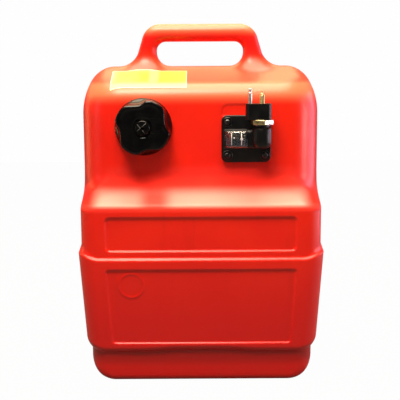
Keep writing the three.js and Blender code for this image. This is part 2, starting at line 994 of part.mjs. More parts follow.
function ventSealSolid() {
  return turnedY(rod(ventSealOuterRadius, ventSealFrontY, ventSealBackY, ventSealInnerRadius));
}

function ventScrewSolid() {
  const knobBack = dishFloorY - seatGap / 2;
  const knobFront = knobBack - ventKnobHeight;
  const bevel = ventKnobHeight / 4;
  const knob = turnedY([
    [0, knobBack],
    [ventKnobRadius, knobBack],
    [ventKnobRadius, knobFront + bevel],
    [ventKnobRadius - bevel, knobFront],
    [0, knobFront],
  ]);
  const stem = turnedY(rod(ventStemRadius, knobFront, knobBack + ventStemLength), smallFacets);
  const wings = [0, 1].map((turn) =>
    prismY(
      roundedRectangle(ventKnobRadius - bevel, ventGripWidth / 2, ventGripWidth / 3),
      knobFront - ventGripHeight,
      knobFront + bevel,
      rounding(bevel, 1),
    ).rotate([0, -THREE.MathUtils.radToDeg(ventGripTurn + quarterTurn * turn), 0]),
  );
  return joined(knob, stem, ...wings);
}

// Fuel meter, in coordinates whose origin is the flange's centre on the tank's upper face

const gasketFrontY = -seatGap - gasketThickness;
const flangeBackY = gasketFrontY - seatGap;
const flangeFrontY = flangeBackY - flangeThickness;
const screwHeadBackY = flangeFrontY - seatGap;
const meterRingRadius = meterHoleRadius - meterRingClearance;

function screwPlaces() {
  return [
    [-screwSpacingX / 2, screwSpacingZ / 2],
    [screwSpacingX / 2, screwSpacingZ / 2],
    [-screwSpacingX / 2, -screwSpacingZ / 2],
    [screwSpacingX / 2, -screwSpacingZ / 2],
  ];
}

function screwHoleEnd() {
  return screwHeadBackY + screwLength + screwHoleClearance;
}

// Where the drum turns: just behind the flange's front face.
const drumY = flangeFrontY + drumAxisInset;
const lensFrontY = flangeFrontY - seatGap - lensSealThickness - seatGap;
const windowHalfHeight = lensRadius - lensWall;
const windowLeft = lensX - lensLength / 2 + lensWall;
const windowRight = lensX + lensLength / 2 - lensWall;
const drumLeft = windowLeft + drumClearance;
const drumRight = windowRight - drumClearance;
const pinionPitchRadius = (gearModule * pinionTeeth) / 2;
const sectorPitchRadius = (gearModule * sectorTeeth) / 2;
const pivotY = drumY + pinionPitchRadius + sectorPitchRadius;
const elbowY = flangeFrontY - elbowReach;

function windowShape() {
  return roundedRectangle(
    (windowRight - windowLeft) / 2,
    windowHalfHeight,
    lensWall,
    (windowRight + windowLeft) / 2,
  );
}

function meterBodySolid() {
  const plate = prismY(
    roundedRectangle(flangeWidth / 2, flangeHeight / 2, flangeCorner),
    flangeFrontY,
    flangeBackY,
    rounding(flangeEdge, 1),
  );
  const ring = turnedY(
    rod(
      meterRingRadius,
      flangeBackY - flangeEdge,
      flangeBackY + meterRingLength,
      meterRingRadius - meterRingWall,
    ),
    largeFacets,
  );
  const elbow = turnedZ([
    [0, -elbowDrop - elbowRadius / 2],
    [elbowRadius / 2, -elbowDrop - elbowRadius / 3],
    [elbowRadius * Math.cos(quarterTurn / 3), -elbowDrop],
    [elbowRadius, -elbowDrop + elbowRadius / 2],
    [elbowRadius, elbowTop - flangeEdge],
    [elbowRadius - flangeEdge, elbowTop],
    [0, elbowTop],
  ]).translate([elbowX, elbowY, 0]);
  const neckTop = elbowTop - flangeEdge;
  const neck = prismY(
    roundedRectangle(
      elbowNeckHalfWidth,
      (neckTop + elbowDrop) / 2,
      flangeEdge,
      elbowX,
      (neckTop - elbowDrop) / 2,
    ),
    elbowY,
    flangeFrontY + flangeEdge,
  );
  const spigot = turnedY(
    rod(spigotRadius, flangeFrontY + flangeEdge, spigotLength),
    mediumFacets,
  ).translate([elbowX, 0, 0]);
  const across = turnedY(rod(passageRadius, elbowY, spigotLength + overrun), smallFacets);
  const socketStart = spigotLength - pipeInsertion - pipeClearance;
  const socket = turnedY(
    rod(pipeRadius + pipeClearance, socketStart, spigotLength + overrun),
    smallFacets,
  );
  const upright = turnedZ(
    rod(nippleRadius + pipeClearance, elbowTop - nippleDrop - pipeClearance, elbowTop + overrun),
    mediumFacets,
  );
  const uprightFoot = turnedZ(rod(passageRadius, 0, elbowTop), smallFacets);
  const window = prismY(windowShape(), flangeFrontY - overrun, flangeBackY + meterRingLength + overrun);
  const shaftHole = turnedX(
    rod(
      drumShaftRadius + pivotClearance,
      windowLeft - shaftSeat - pivotClearance,
      windowRight + shaftSeat + pivotClearance,
    ),
    smallFacets,
  ).translate([0, drumY, 0]);
  const screwHoles = screwPlaces().map(([x, z]) =>
    turnedY(
      rod(screwShankRadius + screwHoleClearance, flangeFrontY - overrun, flangeBackY + overrun),
      smallFacets / 2,
    ).translate([x, 0, z]),
  );
  return cut(
    joined(plate, ring, elbow, neck, spigot),
    window,
    shaftHole,
    ...screwHoles,
    across.translate([elbowX, 0, 0]),
    socket.translate([elbowX, 0, 0]),
    upright.translate([elbowX, elbowY, 0]),
    uprightFoot.translate([elbowX, elbowY, 0]),
  );
}

function meterGasketSolid() {
  const plate = prismY(
    roundedRectangle(
      flangeWidth / 2 - gasketInset,
      flangeHeight / 2 - gasketInset,
      flangeCorner - gasketInset,
    ),
    gasketFrontY,
    -seatGap,
  );
  const hole = turnedY(rod(meterHoleRadius, -overrun, overrun), largeFacets);
  const screwHoles = screwPlaces().map(([x, z]) =>
    turnedY(
      rod(screwShankRadius + screwHoleClearance, -overrun, overrun),
      smallFacets / 2,
    ).translate([x, 0, z]),
  );
  return cut(plate, hole, ...screwHoles);
}

function flangeScrewSolid() {
  const headFrontY = screwHeadBackY - screwHeadHeight;
  const tipY = screwHeadBackY + screwLength;
  const body = turnedY(
    [
      [0, headFrontY],
      [screwCrownRadius, headFrontY],
      [screwHeadRadius, headFrontY + screwHeadHeight / 2],
      [screwHeadRadius, screwHeadBackY],
      [screwShankRadius, screwHeadBackY],
      [screwShankRadius, tipY - screwShankRadius],
      [0, tipY],
    ],
    smallFacets,
  );
  const slots = [0, 1].map((turn) =>
    prismY(
      roundedRectangle(screwSlotReach, screwSlotWidth / 2, screwSlotWidth / 4),
      headFrontY - overrun,
      headFrontY + screwSlotDepth,
    ).rotate([0, THREE.MathUtils.radToDeg(turn * quarterTurn), 0]),
  );
  return cut(body, ...slots);
}

// A half barrel on the window, with closed ends and a lip round its foot.
function lensSolid() {
  const half = lensLength / 2;
  const barrel = (radius, halfLength) => {
    const outline = shapeOf([
      ...arc(lensFrontY, 0, radius, quarterTurn, 3 * quarterTurn, 2 * cornerSegments),
      [lensFrontY + lensWall / 4, -radius],
      [lensFrontY + lensWall / 4, radius],
    ]);
    return prismX(outline, lensX - halfLength, lensX + halfLength);
  };
  const lip = prismY(
    roundedRectangle(half + lensLip, lensRadius + lensLip, lensLip, lensX),
    lensFrontY - lensLipThickness,
    lensFrontY,
  );
  const outside = barrel(lensRadius, half).intersect(
    prismY(
      roundedRectangle(half + lensLip, lensRadius + lensLip, lensLip, lensX),
      lensFrontY - lensRadius - overrun,
      lensFrontY,
    ),
  );
  const inside = joined(
    barrel(windowHalfHeight, half - lensWall),
    prismY(windowShape(), lensFrontY - lensLipThickness / 2, lensFrontY + overrun),
  );
  return cut(joined(outside, lip), inside);
}

function lensSealSolid() {
  const half = lensLength / 2;
  const front = lensFrontY + seatGap;
  const plate = prismY(
    roundedRectangle(half + lensLip, lensRadius + lensLip, lensLip, lensX),
    front,
    front + lensSealThickness,
  );
  return cut(plate, prismY(windowShape(), front - overrun, front + overrun));
}

// One gear tooth after another, from root to root, round the origin.
function toothPoints(teeth, count, firstAngle) {
  const pitchRadius = (gearModule * teeth) / 2;
  const root = pitchRadius - gearDedendumShare * gearModule;
  const tip = pitchRadius + gearAddendumShare * gearModule;
  const step = fullTurn / teeth;
  return Array.from({ length: count }, (_, k) => {
    const centre = firstAngle + k * step;
    const at = (radius, share) => {
      const angle = centre + (share * step) / 2;
      return [radius * Math.cos(angle), radius * Math.sin(angle)];
    };
    const { root: wide, pitch: middle, tip: narrow } = toothWidthShares;
    return [
      at(root, -wide),
      at(pitchRadius, -middle),
      at(tip, -narrow),
      at(tip, narrow),
      at(pitchRadius, middle),
      at(root, wide),
    ];
  }).flat();
}

const pinionRight = drumRight;
const pinionLeft = pinionRight - gearWidth;

// The drum and its pinion turn together. A gap between two teeth faces the sector.
function levelDrumSolid() {
  const gap = gearModule / 2;
  const drum = turnedX(rod(drumRadius, drumLeft, pinionLeft - gap), mediumFacets);
  const waist = turnedX(
    rod(pinionPitchRadius - gearDedendumShare * gearModule, drumLeft, pinionRight),
    smallFacets,
  );
  const pinion = prismX(
    shapeOf(toothPoints(pinionTeeth, pinionTeeth, Math.PI / pinionTeeth)),
    pinionLeft,
    pinionRight,
  );
  const bore = turnedX(
    rod(drumShaftRadius + pivotClearance, drumLeft - overrun, drumRight + overrun),
    smallFacets,
  );
  return cut(joined(drum, waist, pinion), bore).translate([0, drumY, 0]);
}

function drumShaftSolid() {
  const shaft = rod(drumShaftRadius, windowLeft - shaftSeat, windowRight + shaftSeat);
  return turnedX(shaft, smallFacets).translate([0, drumY, 0]);
}

const sectorLeft = pinionLeft;
const sectorRight = pinionRight;
const hubRight = sectorLeft + hubLength;
const wireX = (sectorRight + hubRight) / 2;
const cheekLeftX = sectorLeft - frameClearance - frameThickness;
const cheekRightX = hubRight + frameClearance;
const framePinEndX = cheekRightX + frameThickness;

// Sector teeth start at the drum's side and run upwards, hub at the origin.
function floatGearSolid() {
  const step = fullTurn / sectorTeeth;
  const first = Math.PI + step;
  const teeth = toothPoints(sectorTeeth, sectorTeethMade, first - (sectorTeethMade - 1) * step);
  const sector = prismX(shapeOf([[0, 0], ...teeth]), sectorLeft, sectorRight);
  const hub = turnedX(rod(hubRadius, sectorLeft, hubRight), mediumFacets);
  const socket = turnedZ(rod(socketRadius, -socketLength, 0), smallFacets);
  const bore = turnedX(
    rod(pivotPinRadius + pivotClearance, sectorLeft - overrun, hubRight + overrun),
    smallFacets,
  );
  const wireBore = turnedZ(
    rod(wireRadius + wireClearance, -socketLength - overrun, -hubRadius - wireRadius),
    smallFacets,
  );
  return cut(
    joined(sector, hub, socket.translate([wireX, 0, 0])),
    bore,
    wireBore.translate([wireX, 0, 0]),
  ).translate([0, pivotY, 0]);
}

function armPivotPinSolid() {
  const headX = cheekLeftX - seatGap - frameThickness / 2;
  const head = rod(pivotPinHeadRadius, headX, cheekLeftX - seatGap);
  const pin = rod(pivotPinRadius, headX, framePinEndX + frameThickness);
  return joined(turnedX(head, smallFacets), turnedX(pin, smallFacets)).translate([0, pivotY, 0]);
}

// Two cheeks joined by bars above and below the drum, hung on the back of the flange.
function gaugeFrameSolid() {
  const baseY = flangeBackY + seatGap;
  const half = frameBaseHalfHeight;
  const cheek = shapeOf([
    [baseY, -half],
    [baseY + frameBarHeight, -half],
    ...arc(pivotY, 0, frameEyeRadius, -quarterTurn, quarterTurn, 2 * edgeSegments),
    [baseY + frameBarHeight, half],
    [baseY, half],
  ]);
  const cheeks = [cheekLeftX, cheekRightX].map((x) => prismX(cheek, x, x + frameThickness));
  const bars = [-1, 1].map((side) => {
    const low = side < 0 ? -half : half - frameBarHeight;
    const bar = shapeOf([
      [baseY, low],
      [baseY + frameThickness, low],
      [baseY + frameThickness, low + frameBarHeight],
      [baseY, low + frameBarHeight],
    ]);
    return prismX(bar, cheekLeftX, framePinEndX);
  });
  const pinHole = turnedX(
    rod(pivotPinRadius + pivotClearance, cheekLeftX - overrun, framePinEndX + overrun),
    smallFacets,
  ).translate([0, pivotY, 0]);
  const drumRoom = turnedX(
    rod(drumRadius + frameClearance, drumLeft - overrun, drumRight + frameClearance),
    mediumFacets,
  ).translate([0, drumY, 0]);
  return cut(joined(...cheeks, ...bars), pinHole, drumRoom);
}

const floatX = wireX + floatSideStep;
const floatY = pivotY + floatBackStep;
const floatTopZ = -floatDrop + floatHeight / 2;
const floatBottomZ = -floatDrop - floatHeight / 2;
const upperRetainerZ = floatTopZ + seatGap;
const lowerRetainerZ = floatBottomZ - seatGap - retainerThickness;

// Bent wire, from the hub's socket down through the float.
function floatArmSolid() {
  const top = -hubRadius - wireRadius - wireClearance;
  const bend = -wireDropToBend;
  const centre = [
    [wireX, pivotY, top],
    [wireX, pivotY, bend],
    [floatX, floatY, bend - wireBendDrop],
    [floatX, floatY, lowerRetainerZ - wireEnd],
  ];
  const rings = centre.map(([x, y, z]) =>
    Array.from({ length: smallFacets / 2 }, (_, i) => {
      const angle = (fullTurn * i) / (smallFacets / 2);
      const radius = wireRadius;
      return new THREE.Vector3(x + radius * Math.cos(angle), y + radius * Math.sin(angle), z);
    }),
  );
  return solidOf(loft(rings.reverse()));
}

function floatBlockSolid() {
  const block = prismZ(
    roundedRectangle(floatWidth / 2, floatDepth / 2, floatCorner),
    floatBottomZ,
    floatTopZ,
    rounding(floatEdge, 2),
  );
  const bore = turnedZ(
    rod(wireRadius + wireClearance, floatBottomZ - overrun, floatTopZ + overrun),
    smallFacets / 2,
  );
  return cut(block, bore).translate([floatX, floatY, 0]);
}

function retainerSolid(z) {
  const ring = rod(retainerRadius, z, z + retainerThickness, wireRadius + wireClearance);
  return turnedZ(ring, smallFacets).translate([floatX, floatY, 0]);
}

const pipeStartY = spigotLength - pipeInsertion;
const pipeEndY = pipeStartY + pipeLength;

function pickupPipeSolid() {
  return turnedY(rod(pipeRadius, pipeStartY, pipeEndY, pipeBoreRadius), smallFacets).translate([
    elbowX,
    0,
    0,
  ]);
}

function pickupStrainerSolid() {
  const start = pipeEndY - strainerOverlap;
  const end = start + strainerLength;
  const wallOfStrainer = strainerRadius - pipeRadius - pipeClearance;
  const body = turnedY(rod(strainerRadius, start, end), mediumFacets);
  const bore = turnedY(
    rod(pipeRadius + pipeClearance, start - overrun, end - wallOfStrainer),
    smallFacets,
  );
  const slots = Array.from({ length: strainerSlots }, (_, i) =>
    prismZ(
      roundedRectangle(
        strainerSlotWidth / 2,
        (strainerLength - strainerOverlap - wallOfStrainer) / 2 - seatGap,
        strainerSlotWidth / 3,
        0,
        (pipeEndY + end - wallOfStrainer) / 2,
      ),
      0,
      strainerRadius + overrun,
    ).rotate([0, THREE.MathUtils.radToDeg((fullTurn * i) / strainerSlots), 0]),
  );
  return cut(body, bore, ...slots).translate([elbowX, 0, 0]);
}

// Connector, in coordinates whose origin is on the elbow's axis at the top of the elbow

const outletSealZ = seatGap;
const nutCollarZ = outletSealZ + outletSealThickness + seatGap;
const nutZ = nutCollarZ + nutCollarHeight;
const blockZ = nutZ + nutHeight + seatGap;
const nippleFlangeZ = blockZ + seatGap;
const nippleTopZ = nippleFlangeZ + nippleFlangeHeight;
const springLowZ = nippleTopZ + seatGap;
const springHighZ = springLowZ + springLength;
const poppetHeadZ = springHighZ + seatGap;
const poppetSealZ = poppetHeadZ + poppetHeadHeight;
const cupCeilingZ = poppetSealZ + poppetSealThickness + seatGap;
const cupTopZ = cupCeilingZ + pinCupRoof;
const blockTopZ = blockZ + blockHeight;
const fuelPinTopZ = blockTopZ + fuelPinHeight;
const cupBoreRadius = poppetHeadRadius + seatGap;
const cupRadius = cupBoreRadius + pinCupWall;

function outletSealSolid() {
  return turnedZ(
    rod(outletSealRadius, outletSealZ, outletSealZ + outletSealThickness, nippleRadius + pipeClearance),
  );
}

function jointNutSolid() {
  const corner = nutAcrossFlats / 2 / Math.cos(Math.PI / 6);
  const hexagon = shapeOf(
    Array.from({ length: 6 }, (_, i) => {
      const angle = nutTurn + quarterTurn + (i * fullTurn) / 6;
      return [corner * Math.cos(angle), corner * Math.sin(angle)];
    }),
  );
  const crown = turnedZ(
    [
      [0, nutZ],
      [nutAcrossFlats / 2, nutZ],
      [corner, nutZ + nutHeight / 6],
      [corner, nutZ + (nutHeight * 5) / 6],
      [nutAcrossFlats / 2, nutZ + nutHeight],
      [0, nutZ + nutHeight],
    ],
    largeFacets,
  );
  const collar = turnedZ(rod(nutCollarRadius, nutCollarZ, nutZ + nutHeight / 2));
  const bore = turnedZ(rod(nippleRadius + pipeClearance, -overrun, blockZ + overrun));
  return cut(joined(prismZ(hexagon, nutZ, nutZ + nutHeight).intersect(crown), collar), bore);
}

function outletNippleSolid() {
  return turnedZ([
    [nippleBoreRadius, -nippleDrop],
    [nippleRadius, -nippleDrop],
    [nippleRadius, nippleFlangeZ],
    [nippleFlangeRadius, nippleFlangeZ],
    [nippleFlangeRadius, nippleTopZ],
    [nippleBoreRadius, nippleTopZ],
  ]);
}

function connectorBlockSolid() {
  const halfLength = (blockLeft + blockRight) / 2;
  const block = prismZ(
    roundedRectangle(halfLength, blockDepth / 2, blockCorner, (blockRight - blockLeft) / 2),
    blockZ,
    blockTopZ,
    rounding(blockEdge, 1),
  );
  const pocket = turnedZ(rod(cupRadius + seatGap, blockZ - overrun, cupTopZ + seatGap));
  const pinHole = turnedZ(rod(fuelPinRadius + seatGap, blockZ, blockTopZ + overrun), smallFacets);
  const guideHole = turnedZ(
    rod(guidePinRadius + seatGap, blockTopZ - guidePinSocket - seatGap, blockTopZ + overrun),
    smallFacets,
  ).translate([guidePinX, 0, 0]);
  return cut(block, pocket, pinHole, guideHole);
}

function fuelPinSolid() {
  return turnedZ([
    [cupBoreRadius, springLowZ],
    [cupRadius, springLowZ],
    [cupRadius, cupTopZ],
    [fuelPinRadius, cupTopZ],
    [fuelPinRadius, fuelPinTopZ - fuelPinChamfer],
    [fuelPinRadius - fuelPinChamfer, fuelPinTopZ],
    [fuelPinBoreRadius, fuelPinTopZ],
    [fuelPinBoreRadius, cupCeilingZ],
    [cupBoreRadius, cupCeilingZ],
  ]);
}

function valvePoppetSolid() {
  const tipZ = fuelPinTopZ + poppetTipHeight;
  const bevel = poppetStemRadius / 4;
  return turnedZ(
    [
      [0, poppetHeadZ],
      [poppetHeadRadius, poppetHeadZ],
      [poppetHeadRadius, poppetSealZ - seatGap],
      [poppetStemRadius, poppetSealZ - seatGap],
      [poppetStemRadius, tipZ - bevel],
      [poppetStemRadius - bevel, tipZ],
      [0, tipZ],
    ],
    smallFacets,
  );
}

function valveSealSolid() {
  return turnedZ(
    rod(
      poppetHeadRadius,
      poppetSealZ,
      poppetSealZ + poppetSealThickness,
      poppetStemRadius + seatGap,
    ),
    smallFacets,
  );
}

// Open coils, with the pitch from the spring's length.
function valveSpringSolid() {
  const sides = 5;
  const steps = springCoils * 8;
  const radius = poppetHeadRadius - 2 * springWireRadius;
  const rise = springLength - 2 * springWireRadius;
  const rings = Array.from({ length: steps + 1 }, (_, i) => {
    const share = i / steps;
    const angle = fullTurn * springCoils * share;
    const z = springLowZ + springWireRadius + rise * share;
    return Array.from({ length: sides }, (_, j) => {
      const turn = (fullTurn * j) / sides;
      const r = radius + springWireRadius * Math.cos(turn);
      const height = z + springWireRadius * Math.sin(turn);
      return new THREE.Vector3(r * Math.cos(angle), r * Math.sin(angle), height);
    }).reverse();
  });
  return solidOf(loft(rings));
}

function guidePinSolid() {
  const r = guidePinRadius;
  const tipZ = blockTopZ + guidePinHeight;
  const groove = tipZ - guideGrooveDrop;
  const half = guideGrooveWidth / 2;
  return turnedZ(
    [
      [0, blockTopZ - guidePinSocket],
      [r, blockTopZ - guidePinSocket],
      [r, groove - half],
      [r - guideGrooveDepth, groove - half],
      [r - guideGrooveDepth, groove + half],
      [r, groove + half],
      [r, tipZ - guideTipRadius],
      [r - guideTipRadius, tipZ],
      [0, tipZ],
    ],
    smallFacets,
  ).translate([guidePinX, 0, 0]);
}

// Label: a strip that follows the front slope and its rounded edge.
function labelSolid() {
  const edge = topEdge(upperDepth, -seatGap).reverse();
  const crest = arc(
    0,
    crestZ - crestRadius,
    crestRadius + seatGap,
    quarterTurn + topSlope,
    quarterTurn,
    edgeSegments,
  );
  const surface = [...crest.reverse(), ...edge.map(([a, z]) => [-a, z])];
  const heightAt = (y) => {
    const next = surface.findIndex((p) => p[0] <= y);
    const [a, low] = surface[next - 1];
    const [b, high] = surface[next];
    return low + ((high - low) * (y - a)) / (b - a);
  };
  const kept = surface.filter(([y]) => y < labelBackY && y > labelFrontY);
  const under = [[labelBackY, heightAt(labelBackY)], ...kept, [labelFrontY, heightAt(labelFrontY)]];
  const lift = labelThickness / Math.cos(topSlope);
  const over = under.map(([y, z]) => [y, z + lift]).reverse();
  return prismX(shapeOf([...under, ...over].reverse()), labelLeftX, labelRightX);
}

// The assembly

function material(finish) {
  return new THREE.MeshStandardMaterial(finishes[finish]);
}

function piece(name, solid, finish) {
  const mesh = new THREE.Mesh(geometryOf(solid), material(finish));
  mesh.name = name;
  return mesh;
}

function capGroup() {
  const group = new THREE.Group();
  group.position.set(capX, -upperDepth, capZ);
  group.add(
    piece("filler_cap", capSolid(), "blackPlastic"),
    piece("cap_gasket", capGasketSolid(), "rubber"),
    piece("vent_screw", ventScrewSolid(), "blackPlastic"),
    piece("vent_seal", ventSealSolid(), "rubber"),
  );
  return group;
}

function connectorGroup() {
  const group = new THREE.Group();
  group.position.set(elbowX, elbowY, elbowTop);
  group.add(
    piece("outlet_nipple", outletNippleSolid(), "brass"),
    piece("outlet_seal", outletSealSolid(), "rubber"),
    piece("joint_nut", jointNutSolid(), "brass"),
    piece("connector_block", connectorBlockSolid(), "blackPlastic"),
    piece("fuel_pin", fuelPinSolid(), "brass"),
    piece("valve_poppet", valvePoppetSolid(), "brass"),
    piece("valve_seal", valveSealSolid(), "rubber"),
    piece("valve_spring", valveSpringSolid(), "steel"),
    piece("guide_pin", guidePinSolid(), "steel"),
  );
  return group;
}

function gaugeGroup() {
  const group = new THREE.Group();
  group.add(
    piece("gauge_lens", lensSolid(), "lens"),
    piece("lens_seal", lensSealSolid(), "rubber"),
    piece("level_drum", levelDrumSolid(), "whitePlastic"),
    piece("drum_shaft", drumShaftSolid(), "steel"),
    piece("gauge_frame", gaugeFrameSolid(), "whitePlastic"),
    piece("arm_pivot_pin", armPivotPinSolid(), "steel"),
    piece("float_gear", floatGearSolid(), "whitePlastic"),
    piece("float_arm", floatArmSolid(), "steel"),
    piece("float_block", floatBlockSolid(), "foam"),
    piece("float_retainer_upper", retainerSolid(upperRetainerZ), "steel"),
    piece("float_retainer_lower", retainerSolid(lowerRetainerZ), "steel"),
  );
  return group;
}

function meterGroup() {
  const group = new THREE.Group();
  group.position.set(meterX, -upperDepth, meterZ);
  group.add(
    piece("meter_body", meterBodySolid(), "blackPlastic"),
    piece("meter_gasket", meterGasketSolid(), "rubber"),
    piece("pickup_pipe", pickupPipeSolid(), "whitePlastic"),
    piece("pickup_strainer", pickupStrainerSolid(), "whitePlastic"),
    gaugeGroup(),
    connectorGroup(),
  );
  screwPlaces().forEach(([x, z], i) => {
    const screw = piece(`flange_screw_${i + 1}`, flangeScrewSolid(), "steel");
    screw.position.set(x, 0, z);
    group.add(screw);
  });
  return group;
}

const fuelTank = new THREE.Group();
fuelTank.add(
  piece("tank_shell", tankSolid(), "tank"),
  piece("top_label", labelSolid(), "label"),
  capGroup(),
  meterGroup(),
);

export default fuelTank;
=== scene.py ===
import math

import bmesh
import bpy
import numpy as np
from mathutils import Matrix, Vector


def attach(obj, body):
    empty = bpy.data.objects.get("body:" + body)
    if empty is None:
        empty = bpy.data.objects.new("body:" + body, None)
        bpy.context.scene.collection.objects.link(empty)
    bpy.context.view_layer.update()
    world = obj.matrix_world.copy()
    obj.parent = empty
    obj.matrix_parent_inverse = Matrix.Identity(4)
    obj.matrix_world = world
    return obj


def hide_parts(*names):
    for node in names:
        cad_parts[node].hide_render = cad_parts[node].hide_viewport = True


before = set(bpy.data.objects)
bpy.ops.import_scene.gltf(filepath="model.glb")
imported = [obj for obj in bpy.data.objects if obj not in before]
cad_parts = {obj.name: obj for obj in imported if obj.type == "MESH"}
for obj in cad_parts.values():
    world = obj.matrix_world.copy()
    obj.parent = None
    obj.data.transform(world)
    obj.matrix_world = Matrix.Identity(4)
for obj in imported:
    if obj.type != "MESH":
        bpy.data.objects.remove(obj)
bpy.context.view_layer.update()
scene = bpy.context.scene

# Pieces are modelled in millimetres and scaled to metres when they are finished.
MM = 0.001
FULL_TURN = 2 * math.pi

# Places at rest, in millimetres, that shapes and finishes share
CAP_PLACE = (-77, -82, 348)
METER_PLACE = (62, -82, 331)
DRUM_DEPTH = -87.6
FUEL_PIN_AXIS = (82, -105.7)
GUIDE_PIN_AXIS = (66.3, -105.7)
LABEL_CENTRE = (-70.5, -52)
LABEL_SIZE = (104, 48)

# Degrees that the two crossed bars of the vent knob are turned by
VENT_BARS = (40, 130)


# Camera, where the photograph was taken from

CAMERA_PLACE = (0, -1.2346, 0.4291)
CAMERA_PITCH = 81
CAMERA_ROLL = 0.35

camera_data = bpy.data.cameras.new("camera")
camera_data.sensor_width = 36
camera_data.lens = 76.24
camera = bpy.data.objects.new("camera", camera_data)
camera.location = CAMERA_PLACE
camera.rotation_euler = (math.radians(CAMERA_PITCH), math.radians(CAMERA_ROLL), 0)
scene.collection.objects.link(camera)
scene.camera = camera
scene.view_settings.view_transform = "Standard"


# Shader maths: a number that varies over a surface takes part in Python sums

class Value:
    """A node's output socket. A sum of values adds Math nodes to the material."""

    def __init__(self, finish, socket):
        self.finish = finish
        self.socket = socket

    def math(self, operation, *terms):
        inputs = dict(enumerate(terms))
        return self.finish.add("ShaderNodeMath", {"operation": operation}, inputs)

    def __add__(self, other):
        return self.math("ADD", self, other)

    def __radd__(self, other):
        return self.math("ADD", other, self)

    def __sub__(self, other):
        return self.math("SUBTRACT", self, other)

    def __rsub__(self, other):
        return self.math("SUBTRACT", other, self)

    def __mul__(self, other):
        return self.math("MULTIPLY", self, other)

    def __pow__(self, other):
        return self.math("POWER", self, other)

    def __abs__(self):
        return self.math("ABSOLUTE", self)

    def most(self, other):
        return self.math("MAXIMUM", self, other)

    def rise(self, start, end, low=0.0, high=1.0):
        """Goes smoothly from low to high while this value goes from start to end."""
        settings = {"interpolation_type": "SMOOTHSTEP"}
        inputs = {0: self, 1: start, 2: end, 3: low, 4: high}
        return self.finish.add("ShaderNodeMapRange", settings, inputs)

    def near(self, centre, half_width, edge):
        """One within half_width of centre, fading to zero over edge."""
        return abs(self - centre).rise(half_width, half_width + edge, 1.0, 0.0)


class Finish:
    """A procedural material. Constants are set on the shader's own sockets."""

    def __init__(self, name, **constants):
        self.material = bpy.data.materials.new(name)
        self.material.use_nodes = True
        self.nodes = self.material.node_tree.nodes
        self.links = self.material.node_tree.links
        self.shader = self.nodes["Principled BSDF"]
        for socket, constant in constants.items():
            self.shader.inputs[socket.replace("_", " ")].default_value = constant
        self.place = self.add("ShaderNodeTexCoord", output="Object")

    def add(self, kind, settings=None, inputs=None, output=0):
        """Adds a node, sets its settings and then its sockets, and returns one output."""
        node = self.nodes.new(kind)
        for setting, choice in (settings or {}).items():
            setattr(node, setting, choice)
        for socket, value in (inputs or {}).items():
            self.feed(node.inputs[socket], value)
        return Value(self, node.outputs[output])

    def feed(self, socket, value):
        if isinstance(value, Value):
            self.links.new(value.socket, socket)
        else:
            socket.default_value = value

    def along(self, axis):
        """The surface point's own x, y or z, in millimetres."""
        part = self.add("ShaderNodeSeparateXYZ", None, {0: self.place}, axis)
        return part * 1000

    def stretched(self, scale):
        """The surface point with each axis scaled, for a pattern with a direction."""
        return self.add("ShaderNodeMapping", None, {0: self.place, 3: scale})

    def noise(self, size, detail=2.0, roughness=0.5, place=None):
        """Cloudy noise whose blotches are about size millimetres across."""
        inputs = {
            "Vector": place or self.place,
            "Scale": 1000 / size,
            "Detail": detail,
            "Roughness": roughness,
        }
        return self.add("ShaderNodeTexNoise", None, inputs)

    def mix(self, share, start, end):
        """The colour start where share is zero and end where it is one."""
        settings = {"data_type": "RGBA", "clamp_factor": True}
        return self.add("ShaderNodeMix", settings, {0: share, 6: start, 7: end}, 2)

    def bump(self, height, depth, strength):
        """Raises the surface by height, where one stands for depth millimetres."""
        inputs = {"Strength": strength, "Distance": depth * MM, "Height": height}
        return self.add("ShaderNodeBump", None, inputs)

    def paint(self, socket, value):
        self.feed(self.shader.inputs[socket], value)

    def painted(self, socket):
        """What was painted into a socket before, to paint over it."""
        return Value(self, self.shader.inputs[socket].links[0].from_socket)


def rgb(red, green, blue):
    """A colour as it is seen on screen, 0 to 255, turned into the shader's linear one."""
    linear = []
    for channel in (red, green, blue):
        dark = channel / 12.92 / 255
        light = ((channel / 255 + 0.055) / 1.055) ** 2.4
        linear.append(dark if channel <= 10 else light)
    return (*linear, 1.0)


# Finishes

